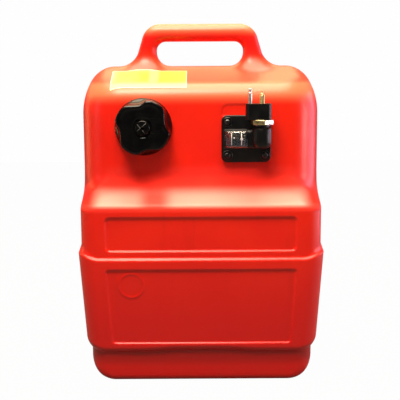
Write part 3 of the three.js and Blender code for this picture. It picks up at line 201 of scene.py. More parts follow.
def tank_finish():
    """Places and heights on the tank are in millimetres, the limits of noises are levels."""
    finish = Finish("red_polyethylene", IOR=1.46)
    # Share of the painted highlight on the roof, the handle's top and the shoulder slope
    painted_light_share = 0.64
    height = finish.along(2)
    cloud = finish.noise(90, 3).rise(0.3, 0.7)
    grain = finish.noise(1.6, 2)
    peel = finish.noise(5, 3, 0.6)
    flow = finish.noise(14, 2, 0.5, finish.stretched((1, 1, 0.18)))
    scuffs = finish.noise(2.2, 4, 0.7, finish.stretched((0.35, 1, 1))).rise(0.66, 0.74)
    foot = height.rise(4, 40, 1.0, 0.12)
    wear = scuffs * foot * finish.noise(30, 1).rise(0.45, 0.7)
    upper = finish.mix(cloud, rgb(230, 31, 6), rgb(221, 23, 4))
    # Painted shade: the red darkens towards the bottom of the tank and on the handle bar, below
    # the highlight painted on its top.
    painted_shade = (height.rise(230, 60) * 0.85).most(height.rise(444, 458) * 0.8)
    base = finish.mix(painted_shade, upper, rgb(198, 4, 1))
    speckled = finish.mix(grain.rise(0.55, 0.8) * 0.06, base, rgb(240, 80, 50))
    wear_and_glint = finish.mix(wear * 0.55, speckled, rgb(236, 112, 92))
    # Painted shade in a band about 37 mm up, under the block's overhang above the foot; the
    # streaks are dirt.
    overhang_shade = height.near(37, 4, 14) * 0.45
    streaks = flow.rise(0.55, 0.85) * 0.10
    streaked_and_shaded = finish.mix(streaks.most(overhang_shade), wear_and_glint, rgb(120, 4, 3))
    across = abs(finish.along(0))
    # Painted highlight: pale orange over the roof and its rounded front edge, less on the flat
    # behind that edge.
    roof = height.rise(375, 393) * height.rise(446, 434) * across.rise(172, 148)
    roof = roof * height.rise(403, 410, 0.92, 0.26)
    # Painted highlight: pale pink over the shoulder slope. Under the cap it is cut back, which
    # paints the cap's shadow.
    face = finish.along(1).rise(-76, -84)
    shade = finish.along(0).near(-62, 5, 24)
    slope = height.rise(240, 246) * height.rise(270, 252) * face * across.rise(154, 132)
    slope = slope * (1.25 - shade)
    matt = height.near(275, 7, 16).most(height.near(240.5, 2.5, 3)) * face
    matt = matt * across.rise(172, 150)
    # Painted highlight: pale orange over the top of the handle bar.
    handle = height.rise(468, 484)
    painted_top_light = finish.mix((roof + handle) * painted_light_share, streaked_and_shaded, rgb(243, 127, 88))
    finish.paint("Base Color", finish.mix(slope * painted_light_share, painted_top_light, rgb(243, 137, 124)))
    roughness = 0.30 + cloud * 0.05 + peel * 0.06 + wear * 0.2 + matt * 0.55
    finish.paint("Roughness", roughness)
    seam = finish.along(1).near(0, 0.25, 0.7)
    surface = peel * 0.5 + grain * 0.25 + flow * 0.4 + seam * 1.6
    finish.paint("Normal", finish.bump(surface, 0.16, 0.7))
    return finish


def black_finish(name, shine, dust=0.2, index=1.38):
    finish = Finish(name, IOR=index)
    cloud = finish.noise(14, 3).rise(0.35, 0.7)
    grain = finish.noise(0.9, 2)
    lines = finish.noise(1.2, 3, 0.7, finish.stretched((0.1, 1, 1))).rise(0.62, 0.7)
    base = finish.mix(cloud, rgb(3, 3, 4), rgb(7, 7, 8))
    finish.paint("Base Color", finish.mix(lines * dust, base, rgb(44, 43, 42)))
    finish.paint("Roughness", shine + cloud * 0.08 + lines * 0.15)
    finish.paint("Normal", finish.bump(grain + finish.noise(6, 2) * 2, 0.05, 0.5))
    return finish


def vent_finish():
    """The cap's black, with a painted glint in pale grey along one edge of each of the knob's
    crossed bars.
    """
    finish = black_finish("vent_polyamide", 0.2, 0.1, 1.4)
    across = finish.along(0) - CAP_PLACE[0]
    up = finish.along(2) - CAP_PLACE[2]
    edges = []
    for turn in map(math.radians, VENT_BARS):
        edge = (up * math.cos(turn) - across * math.sin(turn)).near(1.7, 0.1, 0.35)
        outward = (across * math.cos(turn) + up * math.sin(turn) + 1).rise(-9, 2)
        edges.append(edge * outward)
    raised = finish.along(1).rise(-114.2, -114.7)
    # Painted highlight: pale grey along the bars' upward edges, where the lamps glint.
    wear_and_glint = edges[0].most(edges[1] * 0.8) * raised
    black = finish.painted("Base Color")
    finish.paint("Base Color", finish.mix(wear_and_glint * 0.55, black, rgb(170, 168, 164)))
    return finish


def metal_finish(name, dark, light, shine):
    finish = Finish(name, Metallic=1.0)
    cloud = finish.noise(5, 3).rise(0.3, 0.7)
    turned = finish.noise(0.5, 2, 0.5, finish.stretched((0.2, 0.2, 3)))
    spots = finish.noise(1.1, 3, 0.6).rise(0.62, 0.72)
    base = finish.mix(cloud, dark, light)
    tarnish = (*[0.35 * c for c in dark[:3]], 1.0)
    finish.paint("Base Color", finish.mix(spots * 0.35, base, tarnish))
    finish.paint("Roughness", shine + cloud * 0.1 + spots * 0.2)
    finish.paint("Normal", finish.bump(turned, 0.03, 0.5))
    return finish


def nut_finish():
    """Brass with a painted white highlight on its right-hand faces."""
    finish = metal_finish("brass_with_painted_highlight", rgb(196, 176, 124), rgb(224, 210, 160), 0.26)
    # Painted highlight: white on the faces turned to the lamps at the right.
    painted_bright_side = finish.along(0).rise(85, 86.2)
    brass = finish.painted("Base Color")
    finish.paint("Base Color", finish.mix(painted_bright_side, brass, rgb(252, 252, 252)))
    return finish


def plain_finish(name, dark, light, shine, size=3.0, depth=0.05):
    finish = Finish(name)
    cloud = finish.noise(size, 3).rise(0.3, 0.7)
    grain = finish.noise(size / 5, 2)
    finish.paint("Base Color", finish.mix(cloud, dark, light))
    finish.paint("Roughness", shine + grain * 0.1)
    finish.paint("Normal", finish.bump(grain, depth, 0.6))
    return finish


def label_finish():
    """Yellow, paler in a band across and at its left end, with a painted highlight along its
    front.
    """
    finish = Finish("yellow_vinyl", IOR=1.48)
    x = finish.along(0)
    y = finish.along(1)
    band = x.near(-64, 3, 7) * 0.75
    left = x.rise(-112, -121, 0.0, 0.55)
    # Painted highlight along the front, near the roof's rounded front edge.
    front = y.rise(-60, -75, 0.0, 0.9)
    cloud = finish.noise(26, 2).rise(0.4, 0.75)
    base = finish.mix(cloud, rgb(180, 184, 40), rgb(186, 176, 36))
    pale = finish.mix(band.most(left.most(front)), base, rgb(196, 194, 116))
    end = abs(x - LABEL_CENTRE[0]) - (LABEL_SIZE[0] / 2 - 0.7)
    side = abs(y - LABEL_CENTRE[1]) - (LABEL_SIZE[1] / 2 - 0.6)
    rim = end.most(side).rise(-0.6, 0.2)
    finish.paint("Base Color", finish.mix(rim * 0.5, pale, rgb(250, 250, 225)))
    finish.paint("Roughness", 0.34 + cloud * 0.12)
    wrinkle = finish.noise(9, 2, 0.5, finish.stretched((1, 0.4, 1)))
    finish.paint("Normal", finish.bump(wrinkle, 0.25, 0.5))
    return finish


def drum_finish():
    """Two printed rings, two spots and a row of ticks, on the side that faces the window."""
    finish = Finish("level_drum_print", IOR=1.3)
    x = finish.along(0)
    y = finish.along(1)
    z = finish.along(2)
    front = y.rise(-88, -90)
    rings = x.near(42, 0.35, 0.25).most(x.near(55.4, 0.45, 0.3))
    spot = ((x - 55.6) ** 2 + (z - 331.5) ** 2).rise(3.2, 4.6, 1.0, 0.0)
    small_spot = ((x - 45.4) ** 2 + (z - 333.2) ** 2).rise(0.5, 1.0, 1.0, 0.0)
    height = abs(z - METER_PLACE[2]) * 0.5
    ticks = height.math("PINGPONG", height, 0.8).rise(0.5, 0.65) * x.near(59, 0.9, 0.2)
    marks = rings.most(spot.most(small_spot).most(ticks * 0.35)) * front
    red_part = x.rise(42.4, 41.8)
    cloud = finish.noise(4, 2).rise(0.3, 0.7)
    base = finish.mix(red_part, rgb(12, 11, 13), rgb(74, 7, 15))
    base = finish.mix(cloud * 0.4, base, rgb(8, 7, 9))
    finish.paint("Base Color", finish.mix(marks, base, rgb(238, 234, 228)))
    finish.paint("Roughness", 0.65 + cloud * 0.1)
    return finish


def lens_finish():
    finish = Finish("clear_acrylic", IOR=1.35, Transmission_Weight=1.0)
    haze = finish.noise(6, 3).rise(0.45, 0.75)
    tint = finish.mix(haze * 0.3, (0.97, 0.97, 0.98, 1), (0.88, 0.88, 0.9, 1))
    finish.paint("Base Color", tint)
    finish.paint("Roughness", 0.01 + haze * 0.03)
    return finish


finishes = {
    "tank_plastic": tank_finish(),
    "label": label_finish(),
    "black_plastic": black_finish("black_polyamide", 0.32),
    "white_plastic": plain_finish("natural_acetal", rgb(228, 226, 216), rgb(214, 211, 198), 0.45),
    "float_foam": plain_finish("float_foam", rgb(38, 38, 40), rgb(54, 53, 52), 0.85, 1.2, 0.3),
    "rubber": plain_finish("nitrile_rubber", rgb(20, 20, 21), rgb(32, 32, 33), 0.7, 2.0, 0.1),
    "brass": metal_finish("turned_brass", rgb(196, 172, 112), rgb(226, 208, 150), 0.26),
    "steel": metal_finish("bright_steel", rgb(206, 202, 200), rgb(232, 230, 228), 0.34),
    "lens": lens_finish(),
}
glossy_black = black_finish("cap_polyamide", 0.14, 0.06, 1.33)
black_with_painted_glints = vent_finish()
dark_steel = metal_finish("blackened_steel", rgb(58, 58, 60), rgb(84, 84, 86), 0.3)
drum_print = drum_finish()


# Making meshes

def finished(name, mesh_code, finish, body, replaced, sharp=34, place=Matrix()):
    """Turns mesh code in millimetres into a finished piece that rides on a body.

    Edges that bend by more than sharp degrees stay crisp, or none where it is zero.
    """
    bmesh.ops.transform(mesh_code, matrix=Matrix.Scale(MM, 4) @ place, verts=mesh_code.verts)
    mesh = bpy.data.meshes.new(name)
    mesh_code.to_mesh(mesh)
    mesh_code.free()
    mesh.shade_smooth()
    if sharp:
        mesh.set_sharp_from_angle(angle=math.radians(sharp))
    mesh.materials.append(finish.material)
    piece = bpy.data.objects.new(name, mesh)
    scene.collection.objects.link(piece)
    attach(piece, body)
    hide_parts(*replaced)


def panel_place(x, y, z):
    """Puts x across, y up and z outwards from a point on the tank's upright face."""
    return Matrix.Translation((x, y, z)) @ Matrix.Rotation(math.radians(90), 4, "X")


def lathe(mesh_code, profile, steps=64, centre=(0, 0), turn=FULL_TURN, rise=0.0):
    """Spins a chain of (radius, height) points about an upright axis."""
    verts = []
    for radius, height in profile:
        verts.append(mesh_code.verts.new((centre[0] + radius, centre[1], height)))
    edges = [mesh_code.edges.new(pair) for pair in zip(verts, verts[1:])]
    whole = abs(turn - FULL_TURN) < 1e-6
    bmesh.ops.spin(
        mesh_code,
        geom=verts + edges,
        cent=(centre[0], centre[1], 0),
        axis=(0, 0, 1),
        dvec=(0, 0, rise / steps),
        angle=turn,
        steps=steps,
        use_merge=whole,
    )
    if whole:
        bmesh.ops.remove_doubles(mesh_code, verts=mesh_code.verts, dist=1e-4)
    bmesh.ops.recalc_face_normals(mesh_code, faces=mesh_code.faces)


def add_block(mesh_code, low, high):
    verts = bmesh.ops.create_cube(mesh_code, size=1)["verts"]
    bmesh.ops.scale(mesh_code, vec=[b - a for a, b in zip(low, high)], verts=verts)
    bmesh.ops.translate(mesh_code, vec=[(a + b) / 2 for a, b in zip(low, high)], verts=verts)


def rounded(mesh_code, edges, radius, steps=3):
    bmesh.ops.bevel(
        mesh_code, geom=edges, offset=radius, offset_type="OFFSET", affect="EDGES",
        segments=steps, profile=0.5, material=-1,
    )


def slab(low, high, corner, corner_steps):
    """A block with its upright corners rounded."""
    block = bmesh.new()
    add_block(block, low, high)
    upright = [e for e in block.edges if abs((e.verts[0].co - e.verts[1].co).z) > 1e-6]
    rounded(block, upright, corner, corner_steps)
    return block


def soft_slab(low, high, corner, corner_steps, edge):
    """A slab with its level edges rounded too."""
    block = slab(low, high, corner, corner_steps)
    level = [
        e for e in block.edges
        if abs((e.verts[0].co - e.verts[1].co).z) < 1e-6
        and abs(e.link_faces[0].normal.z - e.link_faces[1].normal.z) > 0.5
    ]
    rounded(block, level, edge)
    return block


def joined(*parts):
    """One mesh code of several, which are freed."""
    whole = bmesh.new()
    for part in parts:
        mesh = bpy.data.meshes.new("part")
        part.to_mesh(mesh)
        part.free()
        whole.from_mesh(mesh)
        bpy.data.meshes.remove(mesh)
    return whole


def turned_about(mesh_code, degrees, axis, centre=(0, 0, 0)):
    turn = Matrix.Rotation(math.radians(degrees), 3, axis)
    bmesh.ops.rotate(mesh_code, cent=centre, matrix=turn, verts=mesh_code.verts)
    return mesh_code


def moved(mesh_code, x, y, z):
    bmesh.ops.translate(mesh_code, vec=(x, y, z), verts=mesh_code.verts)
    return mesh_code


# The tank's outside as a level: its distance in millimetres, negative inside

def ease(value, start, end):
    """Goes smoothly from zero to one while value goes from start to end."""
    share = np.clip((value - start) / (end - start), 0, 1)
    return share * share * (3 - 2 * share)


def round_max(a, b, radius):
    """Where both levels are inside, with the corner rounded to radius."""
    a = a + radius
    b = b + radius
    return np.minimum(np.maximum(a, b), 0) + np.hypot(np.maximum(a, 0), np.maximum(b, 0)) - radius


def round_min(a, b, radius):
    """Where either level is inside, with the inner corner filled to radius."""
    return -round_max(-a, -b, radius)


def soft_max(a, b, reach):
    """The greater of two values, blended where they differ by less than reach."""
    return np.maximum(a, b) + np.maximum(reach - abs(a - b), 0) ** 2 / (4 * reach)


def soft_min(a, b, reach):
    return -soft_max(-a, -b, reach)


def slope_of(degrees):
    return math.tan(math.radians(degrees))


def rotated(a, b, degrees):
    """The sum of a and b along a direction that leans from a towards b."""
    return a * math.cos(math.radians(degrees)) + b * math.sin(math.radians(degrees))


ROOF_PITCH = 21.5
SHOULDER_PITCH = 32
CREST_HEIGHT = 379
CREST_RADIUS = 50
HANDLE_TOP = 488
FOOT_DEPTH = 119


def band_height(across):
    """Where the step of the band runs, with its rise towards the sides."""
    return 173 + 9 * ease(across, 138, 168)


def face_depth(x, z):
    """How far the front stands out from the seam, block by block."""
    step = 3.5 * ease(z - band_height(abs(x)), -2.5, 2.5)
    lower = np.interp(z, [49, 171], [125, 127.5]) - step
    shoulder = 124 - (z - 242.4) / slope_of(SHOULDER_PITCH)
    depth = soft_max(soft_min(lower, shoulder, 8), 82, 22)
    crown = 1.5 - 1.1 * ease(z, 240, 268)
    return depth - crown * (x / 172) ** 2


def block_level(x, y, z):
    """The tank above its foot: sides with the mould's draft, front, back and roof."""
    across = abs(x)
    away = abs(y)
    crowned = 1.16 * (np.hypot(y, 12) - 12)
    draft = 0.06 + 0.04 * ease(z, 238, 268)
    half_width = np.interp(z, [59, 178], [165, 173.5])
    half_width = half_width - 4 * ease(z - band_height(across), -4, 6)
    half_width = half_width - 1.5 * ease(z, 238, 290)
    width = across + draft * crowned
    side = soft_max(width - half_width, rotated(width - 168, z - 382, 24), 8)
    pitch = face_depth(x, z + 0.5) - face_depth(x, z - 0.5)
    front = (-y - face_depth(x, z)) / np.sqrt(1 + pitch ** 2)
    back = y - 127.5 + (x / 172) ** 2
    face = np.where(y < 0, front, back)
    plan = round_max(side, face, 22 + 22 * ease(z, 238, 268))
    on_crest = away < (z - CREST_HEIGHT) * slope_of(ROOF_PITCH)
    crest = np.hypot(away, z - CREST_HEIGHT) - CREST_RADIUS
    pitched = (z - 432.74 + slope_of(ROOF_PITCH) * away) * math.cos(math.radians(ROOF_PITCH))
    roof = np.where(on_crest, crest, pitched)
    return round_max(plan, roof, 15 + 7 * ease(side - face, -30, 30))


def body_level(points):
    x, y, z = points.T
    across = abs(x)
    away = abs(y)
    foot_plan = round_max(across + 0.06 * away - 157.5, away - FOOT_DEPTH, 22)
    sag = 2.8 * ease(across, 25, 85) * ease(across, 152, 128)
    underside = 45.5 - sag + 3 * ease(foot_plan, 0, 8) - z
    block = round_max(block_level(x, y, z), underside, 5 + 9 * ease(across, 140, 165))
    foot_side = round_max(across + 0.06 * away - 158, -z, 33)
    foot = round_max(foot_side, away - FOOT_DEPTH, 9 + 13 * ease(z, 4, 34))
    foot = np.maximum(foot, z - 60)
    return round_min(block, foot, 2.5)


def handle_level(points):
    x, y, z = points.T
    across = abs(x)
    leg = rotated(across - 94, z - 429, 17)
    outline = round_max(z - HANDLE_TOP, leg, 18)
    hole = round_max(across - 62, z - 463.5, 13)
    bar = round_max(np.maximum(outline, -hole), abs(y) - 17, 11.5)
    return np.maximum(bar, 400 - z)


# Borders of the moulded details, negative inside: panels, ring, pocket, grooves, recess

def upper_border(x, z):
    return round_max(abs(x) - 128, abs(z - 206.25) - 22.75, 6)


def lower_border(x, z):
    return round_max(abs(x) - np.interp(z, [56, 158], [121, 128]), abs(z - 107) - 51, 4)


def ring_distance(x, z):
    return abs(np.hypot(x + 94.5, z - 136.5) - 16.5)


def pocket_border(x, z):
    return round_max(abs(x - 62.5) - 33.5, abs(z - 338) - 39, 9)


def groove_border(x, z):
    lane = np.clip(np.round(x / 80), -1, 1) * 80
    return round_max(abs(x - lane) - 7, abs(z - 210) - 120, 7)


def base_border(x, y):
    return round_max(abs(x) - 100, abs(y) - 76, 8)


def tank_level(points):
    x, y, z = points.T
    front = y < -60
    level = round_min(body_level(points), handle_level(points), 20)
    level = level + front * 2.6 * ease(-upper_border(x, z), -1.3, 1.3)
    level = level + front * 2.5 * ease(-lower_border(x, z), -1.1, 1.1)
    level = level - front * 1.1 * ease(-ring_distance(x, z), -1.7, -0.4)
    level = level + front * 1.0 * ease(-pocket_border(x, z), -1.0, 1.0) * ease(z, 361, 363)
    level = level + (y > 60) * 2.5 * ease(-groove_border(x, z), -2.5, 2.5)
    return level + (z < 20) * 1.8 * ease(-base_border(x, y), -1.5, 1.5)


def lining_level(points):
    """The inside of the wall, left plain."""
    return body_level(points) + 4.5


def settle(mesh_code, level, rounds, smoothing=0.5):
    """Evens out the faces and brings every vertex back to the level's surface."""
    reach = 0.05
    nudges = reach * np.eye(3)
    for _ in range(rounds):
        if smoothing:
            bmesh.ops.smooth_vert(
                mesh_code, verts=mesh_code.verts, factor=smoothing,
                use_axis_x=True, use_axis_y=True, use_axis_z=True,
            )
        points = np.array([v.co for v in mesh_code.verts])
        for _ in range(2):
            slopes = [(level(points + n) - level(points - n)) / (2 * reach) for n in nudges]
            slope = np.stack(slopes, axis=1)
            step = level(points) / np.maximum((slope ** 2).sum(axis=1), 0.2)
            points = points - slope * np.clip(step, -4, 4)[:, None]
        for vert, point in zip(mesh_code.verts, points):
            vert.co = point


def remeshed(boxes, voxel):
    """Joins overlapping blocks into one skin of even faces."""
    rough = bmesh.new()
    for low, high in boxes:
        add_block(rough, low, high)
    mesh = bpy.data.meshes.new("rough")
    rough.to_mesh(mesh)
    rough.free()
    holder = bpy.data.objects.new("rough", mesh)
    scene.collection.objects.link(holder)
    remesh = holder.modifiers.new("remesh", "REMESH")
    remesh.mode = "VOXEL"
    remesh.voxel_size = voxel
    bpy.context.view_layer.update()
    evaluated = holder.evaluated_get(bpy.context.evaluated_depsgraph_get())
    skin = bpy.data.meshes.new_from_object(evaluated)
    mesh_code = bmesh.new()
    mesh_code.from_mesh(skin)
    bpy.data.objects.remove(holder)
    bpy.data.meshes.remove(mesh)
    bpy.data.meshes.remove(skin)
    return mesh_code


def refine(mesh_code, near, bend):
    """Halves the faces where near says so or where the surface bends by more than bend."""
    centres = np.array([f.calc_center_median() for f in mesh_code.faces])
    wanted = near(centres)
    edges = set()
    for face, chosen in zip(mesh_code.faces, wanted):
        if chosen:
            edges.update(face.edges)
    limit = math.radians(bend)
    for edge in mesh_code.edges:
        if len(edge.link_faces) == 2 and edge.calc_face_angle() > limit:
            for face in edge.link_faces:
                edges.update(face.edges)
    bmesh.ops.subdivide_edges(mesh_code, edges=list(edges), cuts=1, use_grid_fill=True)


def near_details(reach):
    """Says which points lie within reach of a moulded border."""
    def near(points):
        x, y, z = points.T
        fronts = np.minimum(abs(upper_border(x, z)), abs(lower_border(x, z)))
        fronts = np.minimum(fronts, ring_distance(x, z))
        fronts = np.minimum(fronts, np.where(z > 355, abs(pocket_border(x, z)), 99))
        fronts = np.minimum(fronts, abs(z - band_height(abs(x))) - 1)
        close = (y < -60) & (fronts < reach)
        close |= (y > 60) & (abs(groove_border(x, z)) < reach + 1)
        close |= (z < 10) & (abs(base_border(x, y)) < reach)
        return close
    return near


BODY_BLOCKS = [
    ((-166, -124, 48), (166, 126, 176)),
    ((-165, -121, 170), (165, 126, 240)),
    ((-163, -82, 232), (163, 126, 372)),
    ((-156, -78, 366), (156, 100, 396)),
    ((-142, -45, 390), (142, 45, 414)),
    ((-134, -24, 410), (134, 24, 424)),
    ((-150, -116, 2), (150, 116, 56)),
]
HANDLE_BLOCKS = [
    ((-90, -15, 412), (-64, 15, 470)),
    ((64, -15, 412), (90, 15, 470)),
    ((-76, -15, 465), (76, 15, 486)),
]
NECK_HOLE = 22.4


def open_neck(mesh_code):
    """Takes the faces out under the filler neck and draws the rim into a circle."""
    inside = []
    for face in mesh_code.faces:
        middle = face.calc_center_median()
        away = math.hypot(middle.x - CAP_PLACE[0], middle.z - CAP_PLACE[2])
        if middle.y < -60 and away < NECK_HOLE - 1.4:
            inside.append(face)
    bmesh.ops.delete(mesh_code, geom=inside, context="FACES")
    rim = [e for e in mesh_code.edges if len(e.link_faces) == 1]
    for vert in {v for e in rim for v in e.verts}:
        away = Vector((vert.co.x - CAP_PLACE[0], 0, vert.co.z - CAP_PLACE[2]))
        away = away.normalized() * NECK_HOLE
        vert.co = Vector((CAP_PLACE[0] + away.x, vert.co.y, CAP_PLACE[2] + away.z))


def tank_mesh():
    skin = remeshed(BODY_BLOCKS + HANDLE_BLOCKS, 5.5)
    settle(skin, tank_level, 12)
    refine(skin, near_details(7), 8)
    settle(skin, tank_level, 3)
    refine(skin, near_details(3.2), 11)
    settle(skin, tank_level, 3, 0.4)
    open_neck(skin)
    lining = remeshed(BODY_BLOCKS, 9)
    settle(lining, lining_level, 10)
    open_neck(lining)
    bmesh.ops.reverse_faces(lining, faces=lining.faces)
    shell = joined(skin, lining)
    bmesh.ops.bridge_loops(shell, edges=[e for e in shell.edges if len(e.link_faces) == 1])
    return shell


finished("tank", tank_mesh(), finishes["tank_plastic"], "tank", ("tank_shell",), 0)


def neck_mesh():
    neck = bmesh.new()
    profile = [
        (20, -5), (20, 20.4), (20.6, 21), (23.9, 21), (24.5, 20.4), (24.5, 2.6), (25.4, 1.8),
        (28.8, 1.5), (29.7, 1.1), (30.2, 0.2), (30.4, -1.2), (24, -3), (24, -5), (20, -5),
    ]
    lathe(neck, profile, 96)
    ridges = []
    for turn in (0, 180):
        ridge = bmesh.new()
        section = [(24.2, 0.0), (26, 0.7), (26, 1.9), (24.2, 2.6), (24.2, 0.0)]
        lathe(ridge, section, 54, turn=0.9 * FULL_TURN, rise=10.8)
        bmesh.ops.remove_doubles(ridge, verts=ridge.verts, dist=1e-4)
        bmesh.ops.holes_fill(ridge, edges=[e for e in ridge.edges if len(e.link_faces) == 1])
        bmesh.ops.recalc_face_normals(ridge, faces=ridge.faces)
        ridges.append(moved(turned_about(ridge, turn, "Z"), 0, 0, 5))
    return joined(neck, *ridges)


finished(
    "filler_neck", neck_mesh(), finishes["tank_plastic"], "tank", ("tank_shell",),
    32, panel_place(*CAP_PLACE),
)


# Filler cap, made of rings drawn from the bore's floor round the rim to the dish

LOBE_SHARES = (
    (0, 0.805), (0.11, 0.83), (0.2, 0.88), (0.29, 0.96), (0.38, 1), (0.55, 1),
    (0.71, 0.995), (0.79, 0.95), (0.86, 0.86), (0.93, 0.81), (1, 0.805),
)


def lobed(angle, radius, scoop):
    """The radius at an angle; at scoop 1 the finger scoops have their full depth."""
    shares, heights = zip(*LOBE_SHARES)
    parts = [((angle - math.radians(10 + turn)) / FULL_TURN * 4) % 1 for turn in (-4, -2, 0, 2, 4)]
    share = float(np.mean([np.interp(part, shares, heights) for part in parts]))
    return radius * (scoop * share + 1 - scoop)


def cap_mesh():
    cap = bmesh.new()
    # Each ring: radius, height, and how far it takes the shape of the finger lobes
    rings = [
        (26.4, 23.9, 0), (26.4, 4.0, 0), (27.2, 2.8, 0), (28, 2.4, 0), (37.8, 2.4, 0),
        (38.7, 2.9, 0), (39, 3.8, 0), (39, 5.3, 0), (38.8, 6.3, 0), (38.3, 6.9, 0),
        (38.2, 8.1, 0.02), (38.2, 9.5, 0.2), (38.2, 11, 0.37), (38.2, 14, 0.62),
        (38.2, 17, 0.79), (38.2, 20, 0.9), (38.2, 23, 0.97), (38.1, 25.6, 1), (37.7, 26.8, 1),
        (36.9, 27.6, 1), (35.8, 28.1, 1), (34.4, 28.3, 1), (32.6, 28.2, 1), (31.8, 27.9, 1),
        (26, 27.8, 0.6), (18, 27.8, 0.1), (14.2, 27.9, 0), (13.2, 27.6, 0), (12.5, 26.9, 0),
        (11.6, 26.5, 0), (3, 26.4, 0),
    ]
    steps = 144
    made = bmesh.ops.create_circle(cap, segments=steps, radius=rings[0][0], cap_ends=True)
    edges = list({e for v in made["verts"] for e in v.link_edges})
    for vert in made["verts"]:
        vert.co.z = rings[0][1]
    for radius, height, share in rings[1:]:
        grown = bmesh.ops.extrude_edge_only(cap, edges=edges)["geom"]
        edges = [g for g in grown if isinstance(g, bmesh.types.BMEdge) and len(g.link_faces) == 1]
        for vert in {v for e in edges for v in e.verts}:
            angle = math.atan2(vert.co.y, vert.co.x)
            reach = lobed(angle, radius, share)
            vert.co = Vector((reach * math.cos(angle), reach * math.sin(angle), height))
    bmesh.ops.holes_fill(cap, edges=edges)
    bmesh.ops.recalc_face_normals(cap, faces=cap.faces)
    return cap


finished(
    "cap", cap_mesh(), glossy_black, "cap", ("filler_cap",),
    38, panel_place(*CAP_PLACE),
)


def vent_mesh():
    vent = bmesh.new()
    profile = [
        (0, 24.6), (2.6, 24.6), (2.6, 26.65), (9.0, 26.65), (9.6, 27.2), (9.6, 29.6),
        (9.0, 30.25), (0, 30.25),
    ]
    lathe(vent, profile)
    bars = []
    for turn in VENT_BARS:
        bar = slab((-8.7, -2, 29.8), (8.7, 2, 32.85), 1.5, 5)
        bars.append(turned_about(bar, turn, "Z"))
    return joined(vent, *bars)


finished(
    "vent_knob", vent_mesh(), black_with_painted_glints, "vent", ("vent_screw",),
    38, panel_place(*CAP_PLACE),
)


# Fuel meter: flange with its window barrel and outlet elbow

def squared(mesh_code):
    """Draws a lathed shape out to nearly flat sides with rounded corners."""
    for vert in mesh_code.verts:
        radius = math.hypot(vert.co.x, vert.co.y)
        if radius > 1e-6:
            reach = (abs(vert.co.x / radius) ** 6 + abs(vert.co.y / radius) ** 6) ** (-1 / 6)
            vert.co.x *= reach
            vert.co.y *= reach


def meter_mesh():
    flange = soft_slab((-33.5, -32, 2.1), (33.5, 32, 7.1), 8, 8, 1.3)
    wells = []
    for x in (-25.5, 25.5):
        for y in (-22.5, 22.5):
            well = bmesh.new()
            profile = [(5.2, 7.0), (5.4, 7.7), (6.3, 7.9), (7.0, 7.5), (7.3, 7.0), (5.2, 7.0)]
            lathe(well, profile, 40, (x, y))
            wells.append(well)
    elbow = bmesh.new()
    profile = [
        (0, -11.5), (6, -11.2), (10.4, -9.4), (12.4, -6.4), (13, -3), (13, 14.2),
        (12.6, 15.4), (11.8, 16), (6.9, 16), (6.9, 12), (0, 12),
    ]
    lathe(elbow, profile, 72)
    turned_about(elbow, -90, "X")
    moved(elbow, 20, 0, 23.7)
    neck = bmesh.new()
    add_block(neck, (9.5, -10.5, 5), (30.5, 12.5, 26))
    rounded(neck, neck.edges[:], 2.5)
    barrel = bmesh.new()
    profile = [(0, 0.8), (11.2, 0.8), (12.4, 1.6), (12.7, 2.6), (12.7, 25.2), (12.0, 26), (0, 26)]
    lathe(barrel, profile, 64)
    squared(barrel)
    turned_about(barrel, 90, "Y")
    moved(barrel, 0, 0, 5.4)
    cradle = soft_slab((-31, -13.2, 5), (2.4, 13.2, 9.4), 3.5, 5, 1.2)
    return joined(flange, elbow, neck, barrel, cradle, *wells)


finished(
    "meter", meter_mesh(), finishes["black_plastic"], "tank", ("meter_body",),
    place=panel_place(*METER_PLACE),
)


def lens_mesh():
    lens = bmesh.new()
    profile = [
        (0, -29.6), (7.4, -29.6), (9.2, -29.2), (11.3, -26.4), (12, -25), (12, 0.9),
        (10.8, 0.9), (10.8, -24.6), (10.2, -25.8), (8.6, -28), (0, -28.4),
    ]
    lathe(lens, profile, 72)
    squared(lens)
    turned_about(lens, 90, "Y")
    moved(lens, 0, 0, 8.5)
    cut = bmesh.ops.bisect_plane(
        lens, geom=lens.verts[:] + lens.edges[:] + lens.faces[:],
        plane_co=(0, 0, 9.0), plane_no=(0, 0, -1), clear_outer=True, clear_inner=False,
    )
    rims = [g for g in cut["geom_cut"] if isinstance(g, bmesh.types.BMEdge)]
    bmesh.ops.holes_fill(lens, edges=rims)
    bmesh.ops.recalc_face_normals(lens, faces=lens.faces)
    return lens


finished(
    "window", lens_mesh(), finishes["lens"], "tank", ("gauge_lens",),
    place=panel_place(*METER_PLACE),
)


def drum_mesh():
    drum = bmesh.new()
    profile = [
        (1.2, 35.5), (8.6, 35.5), (9.2, 35.9), (9.4, 36.6), (9.4, 41.2), (9.15, 41.6),
        (9.15, 42.4), (9.4, 42.8), (9.4, 59.4), (9.2, 60.1), (8.6, 60.5), (1.2, 60.5),
        (1.2, 35.5),
    ]
    lathe(drum, profile, 64)
    turned_about(drum, 90, "Y")
    return moved(drum, 0, DRUM_DEPTH, METER_PLACE[2])


finished("drum", drum_mesh(), drum_print, "drum", ("level_drum",))


# Hose connector: lock nut, block, pins and valve

NUT_WIDTH = 27.5


def nut_mesh():
    nut = bmesh.new()
    corner = NUT_WIDTH / 2 / math.cos(math.radians(30))
    bmesh.ops.create_cone(
        nut, cap_ends=True, segments=6, radius1=corner, radius2=corner, depth=6.4,
    )
    turned_about(nut, 8, "Z")
    moved(nut, *FUEL_PIN_AXIS, 354.8)
    rounded(nut, nut.edges[:], 0.7)
    return nut


def lathed(profile, steps, axis):
    """A turned piece that stands on its own axis."""
    turned = bmesh.new()
    lathe(turned, profile, steps, axis)
    return turned


